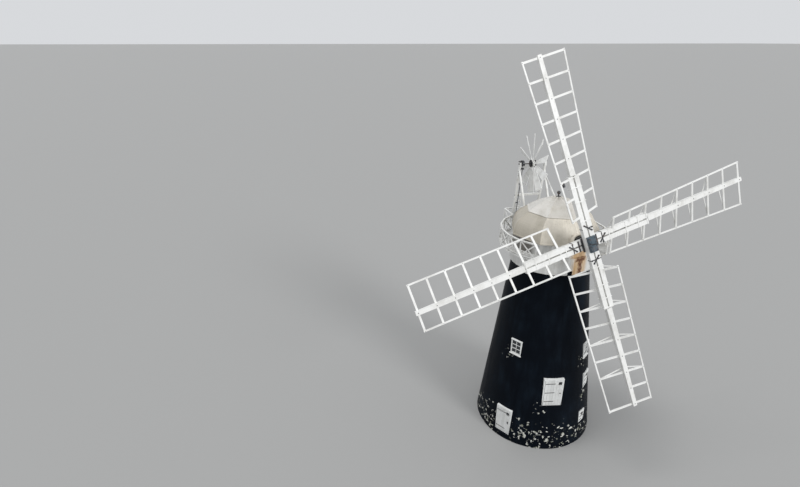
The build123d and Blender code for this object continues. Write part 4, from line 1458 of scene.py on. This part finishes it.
def wheel_iron(black):
    """Plates on the hub with their bolts, and the teeth of the bevel gear."""
    bm = bmesh.new()
    outline = [(0.04, 0), (0.233, 0), (0.233, 0.032), (0.21, 0.04)]
    outline += [(0.1, 0.04), (0.088, 0.07), (0.04, 0.07)]
    for side in (-1, 1):
        out = Vector((side, 0, 0))
        turned(bm, fan_centre + out * 0.112, out, outline, 32)
        for index in range(blade_count):
            angle = radians(36 * index + 15)
            spoke = Vector((0, -sin(angle), cos(angle)))
            bolt(bm, fan_centre + out * 0.152 + spoke * 0.155, out, 0.018)
    for index in range(24):
        turn = Matrix.Translation(fan_centre) @ Matrix.Rotation(tau * index / 24, 4, "X")
        tooth = turn @ Matrix.Translation((-0.705, 0, 0.148)) @ Matrix.Rotation(radians(31.4), 4, "Y")
        soft_box(bm, tooth, (0.1, 0.018, 0.04), 0.004)
    finish_piece("fan_wheel_iron", bm, black, "fan")


def standing_iron(black):
    """Bearing caps, the guard over the gear, and the drive that runs down to the platform."""
    bm = bmesh.new()
    for side in (-1, 1):
        top = fan_centre + Vector((side * 0.85, 0, 0.135))
        soft_box(bm, Matrix.Translation(top), (0.17, 0.25, 0.035), 0.008)
        soft_box(bm, Matrix.Translation(top + UP * 0.03), (0.13, 0.14, 0.04), 0.012)
        for y in (-0.095, 0.095):
            bolt(bm, top + Vector((0, y, 0.014)), UP, 0.022)
    guard = fan_centre + Vector((-0.79, 0, 0))
    corners = [
        guard + Vector((x, radius * cos(0.35), -radius * sin(0.35)))
        for x, radius in ((0, 0.205), (0.15, 0.205), (0.15, 0.222), (0, 0.222))
    ]
    swept_face(bm, corners, fan_centre, RIGHT, radians(220), 28)
    head, foot = Vector((-0.7, 3.42, 16.3)), Vector((-0.7, 3.84, deck_top))
    rod(bm, foot, head, 0.022, 12)
    turned(bm, head, head - foot, [(0.02, -0.07), (0.12, -0.07), (0.075, 0.01), (0.02, 0.01)], 20)
    for share in (0.28, 0.62, 0.9):
        middle = head.lerp(foot, share)
        soft_box(bm, Matrix.Translation(middle + Vector((-0.035, 0, 0))), (0.12, 0.08, 0.06), 0.01)
    finish_piece("fan_bearings", bm, black, "cap")


class WINDMILL_OT_fan(bpy.types.Operator):
    """Paint of the fan wheel, its battens, hub plates, gear teeth, bearing caps and drive"""

    bl_idname = "windmill.fan"
    bl_label = "Fan"

    def execute(self, context):
        timber = context.scene.windmill_timber
        iron = context.scene.windmill_iron
        paint = painted_timber("Fan paint", timber.sail_color, 0.3, 1.8)
        black = painted_iron("Fan iron", iron.dark_color, 0.5)
        dress(paint, "fan_wheel")
        dress(black, "fan_axle")
        battens(paint)
        wheel_iron(black)
        standing_iron(black)
        return {"FINISHED"}


# Floors


class WINDMILL_OT_floors(bpy.types.Operator):
    """Finish of the floors inside"""

    bl_idname = "windmill.floors"
    bl_label = "Floors"

    def execute(self, context):
        dress(bare_wood("Floor boards", (0.3, 0.2, 0.12), (8, 0.8, 8)), "first_floor", "second_floor")
        dress(bare_wood("Paving", (0.26, 0.24, 0.22), (2, 2, 2)), "ground_floor")
        return {"FINISHED"}


# Stage


class WINDMILL_OT_stage(bpy.types.Operator):
    """Pale floor, soft light and the camera"""

    bl_idname = "windmill.stage"
    bl_label = "Stage"

    def execute(self, context):
        scene = context.scene
        light = scene.windmill_light
        scene.view_settings.view_transform = "Standard"
        bm = bmesh.new()
        bmesh.ops.create_grid(bm, x_segments=1, y_segments=1, size=4000)
        mesh = bpy.data.meshes.new("floor")
        bm.to_mesh(mesh)
        bm.free()
        material, tree, surface = new_material("Pale floor")
        surface["Base Color"].default_value = rgba(light.floor_color)
        surface["Roughness"].default_value = 0.9
        mesh.materials.append(material)
        floor = bpy.data.objects.new("floor", mesh)
        scene.collection.objects.link(floor)
        world = bpy.data.worlds.new("Soft sky")
        world.use_nodes = True
        back = world.node_tree.nodes["Background"].inputs
        back["Color"].default_value = (0.95, 0.97, 1, 1)
        back["Strength"].default_value = light.world_strength
        scene.world = world
        for name, strength, lean, turn in (
            ("key", light.key_strength, 22, -100),
            ("fill", light.fill_strength, 64, 28),
        ):
            lamp = bpy.data.lights.new(name, "SUN")
            lamp.energy = strength
            lamp.angle = radians(20)
            soft = bpy.data.objects.new(name, lamp)
            soft.rotation_euler = (radians(lean), 0, radians(turn))
            scene.collection.objects.link(soft)
        camera = bpy.data.cameras.new("camera")
        camera.sensor_width = 36
        camera.lens = 490.226 / 800 * 36
        camera.clip_end = 10000
        view = bpy.data.objects.new("camera", camera)
        view.location = (-14.648, -24.755, 23.750)
        view.rotation_euler = (radians(90 - 22.49), 0, radians(-12.07))
        scene.collection.objects.link(view)
        scene.camera = view
        return {"FINISHED"}


class WINDMILL_PT_panel(bpy.types.Panel):
    """Lists the steps in the 3D view's sidebar"""

    bl_label = "Windmill"
    bl_idname = "WINDMILL_PT_panel"
    bl_space_type = "VIEW_3D"
    bl_region_type = "UI"
    bl_category = "Windmill"

    def draw(self, context):
        for step in steps:
            self.layout.operator(step.bl_idname)


steps = (
    WINDMILL_OT_shared_shaders,
    WINDMILL_OT_stage,
    WINDMILL_OT_tower_bricks,
    WINDMILL_OT_joinery,
    WINDMILL_OT_floors,
    WINDMILL_OT_cap,
    WINDMILL_OT_gallery,
    WINDMILL_OT_sails,
    WINDMILL_OT_fan,
)
groups = {
    "windmill_tower": TowerFinish,
    "windmill_timber": TimberFinish,
    "windmill_iron": IronFinish,
    "windmill_light": StageLight,
}


def register():
    for group in groups.values():
        bpy.utils.register_class(group)
    for name, group in groups.items():
        setattr(bpy.types.Scene, name, bpy.props.PointerProperty(type=group))
    for step in steps:
        bpy.utils.register_class(step)
    bpy.utils.register_class(WINDMILL_PT_panel)


def unregister():
    bpy.utils.unregister_class(WINDMILL_PT_panel)
    for step in reversed(steps):
        bpy.utils.unregister_class(step)
    for name in groups:
        delattr(bpy.types.Scene, name)
    for group in reversed(groups.values()):
        bpy.utils.unregister_class(group)


def main():
    register()
    for step in steps:
        area, name = step.bl_idname.split(".")
        getattr(getattr(bpy.ops, area), name)()


if __name__ == "__main__":
    main()
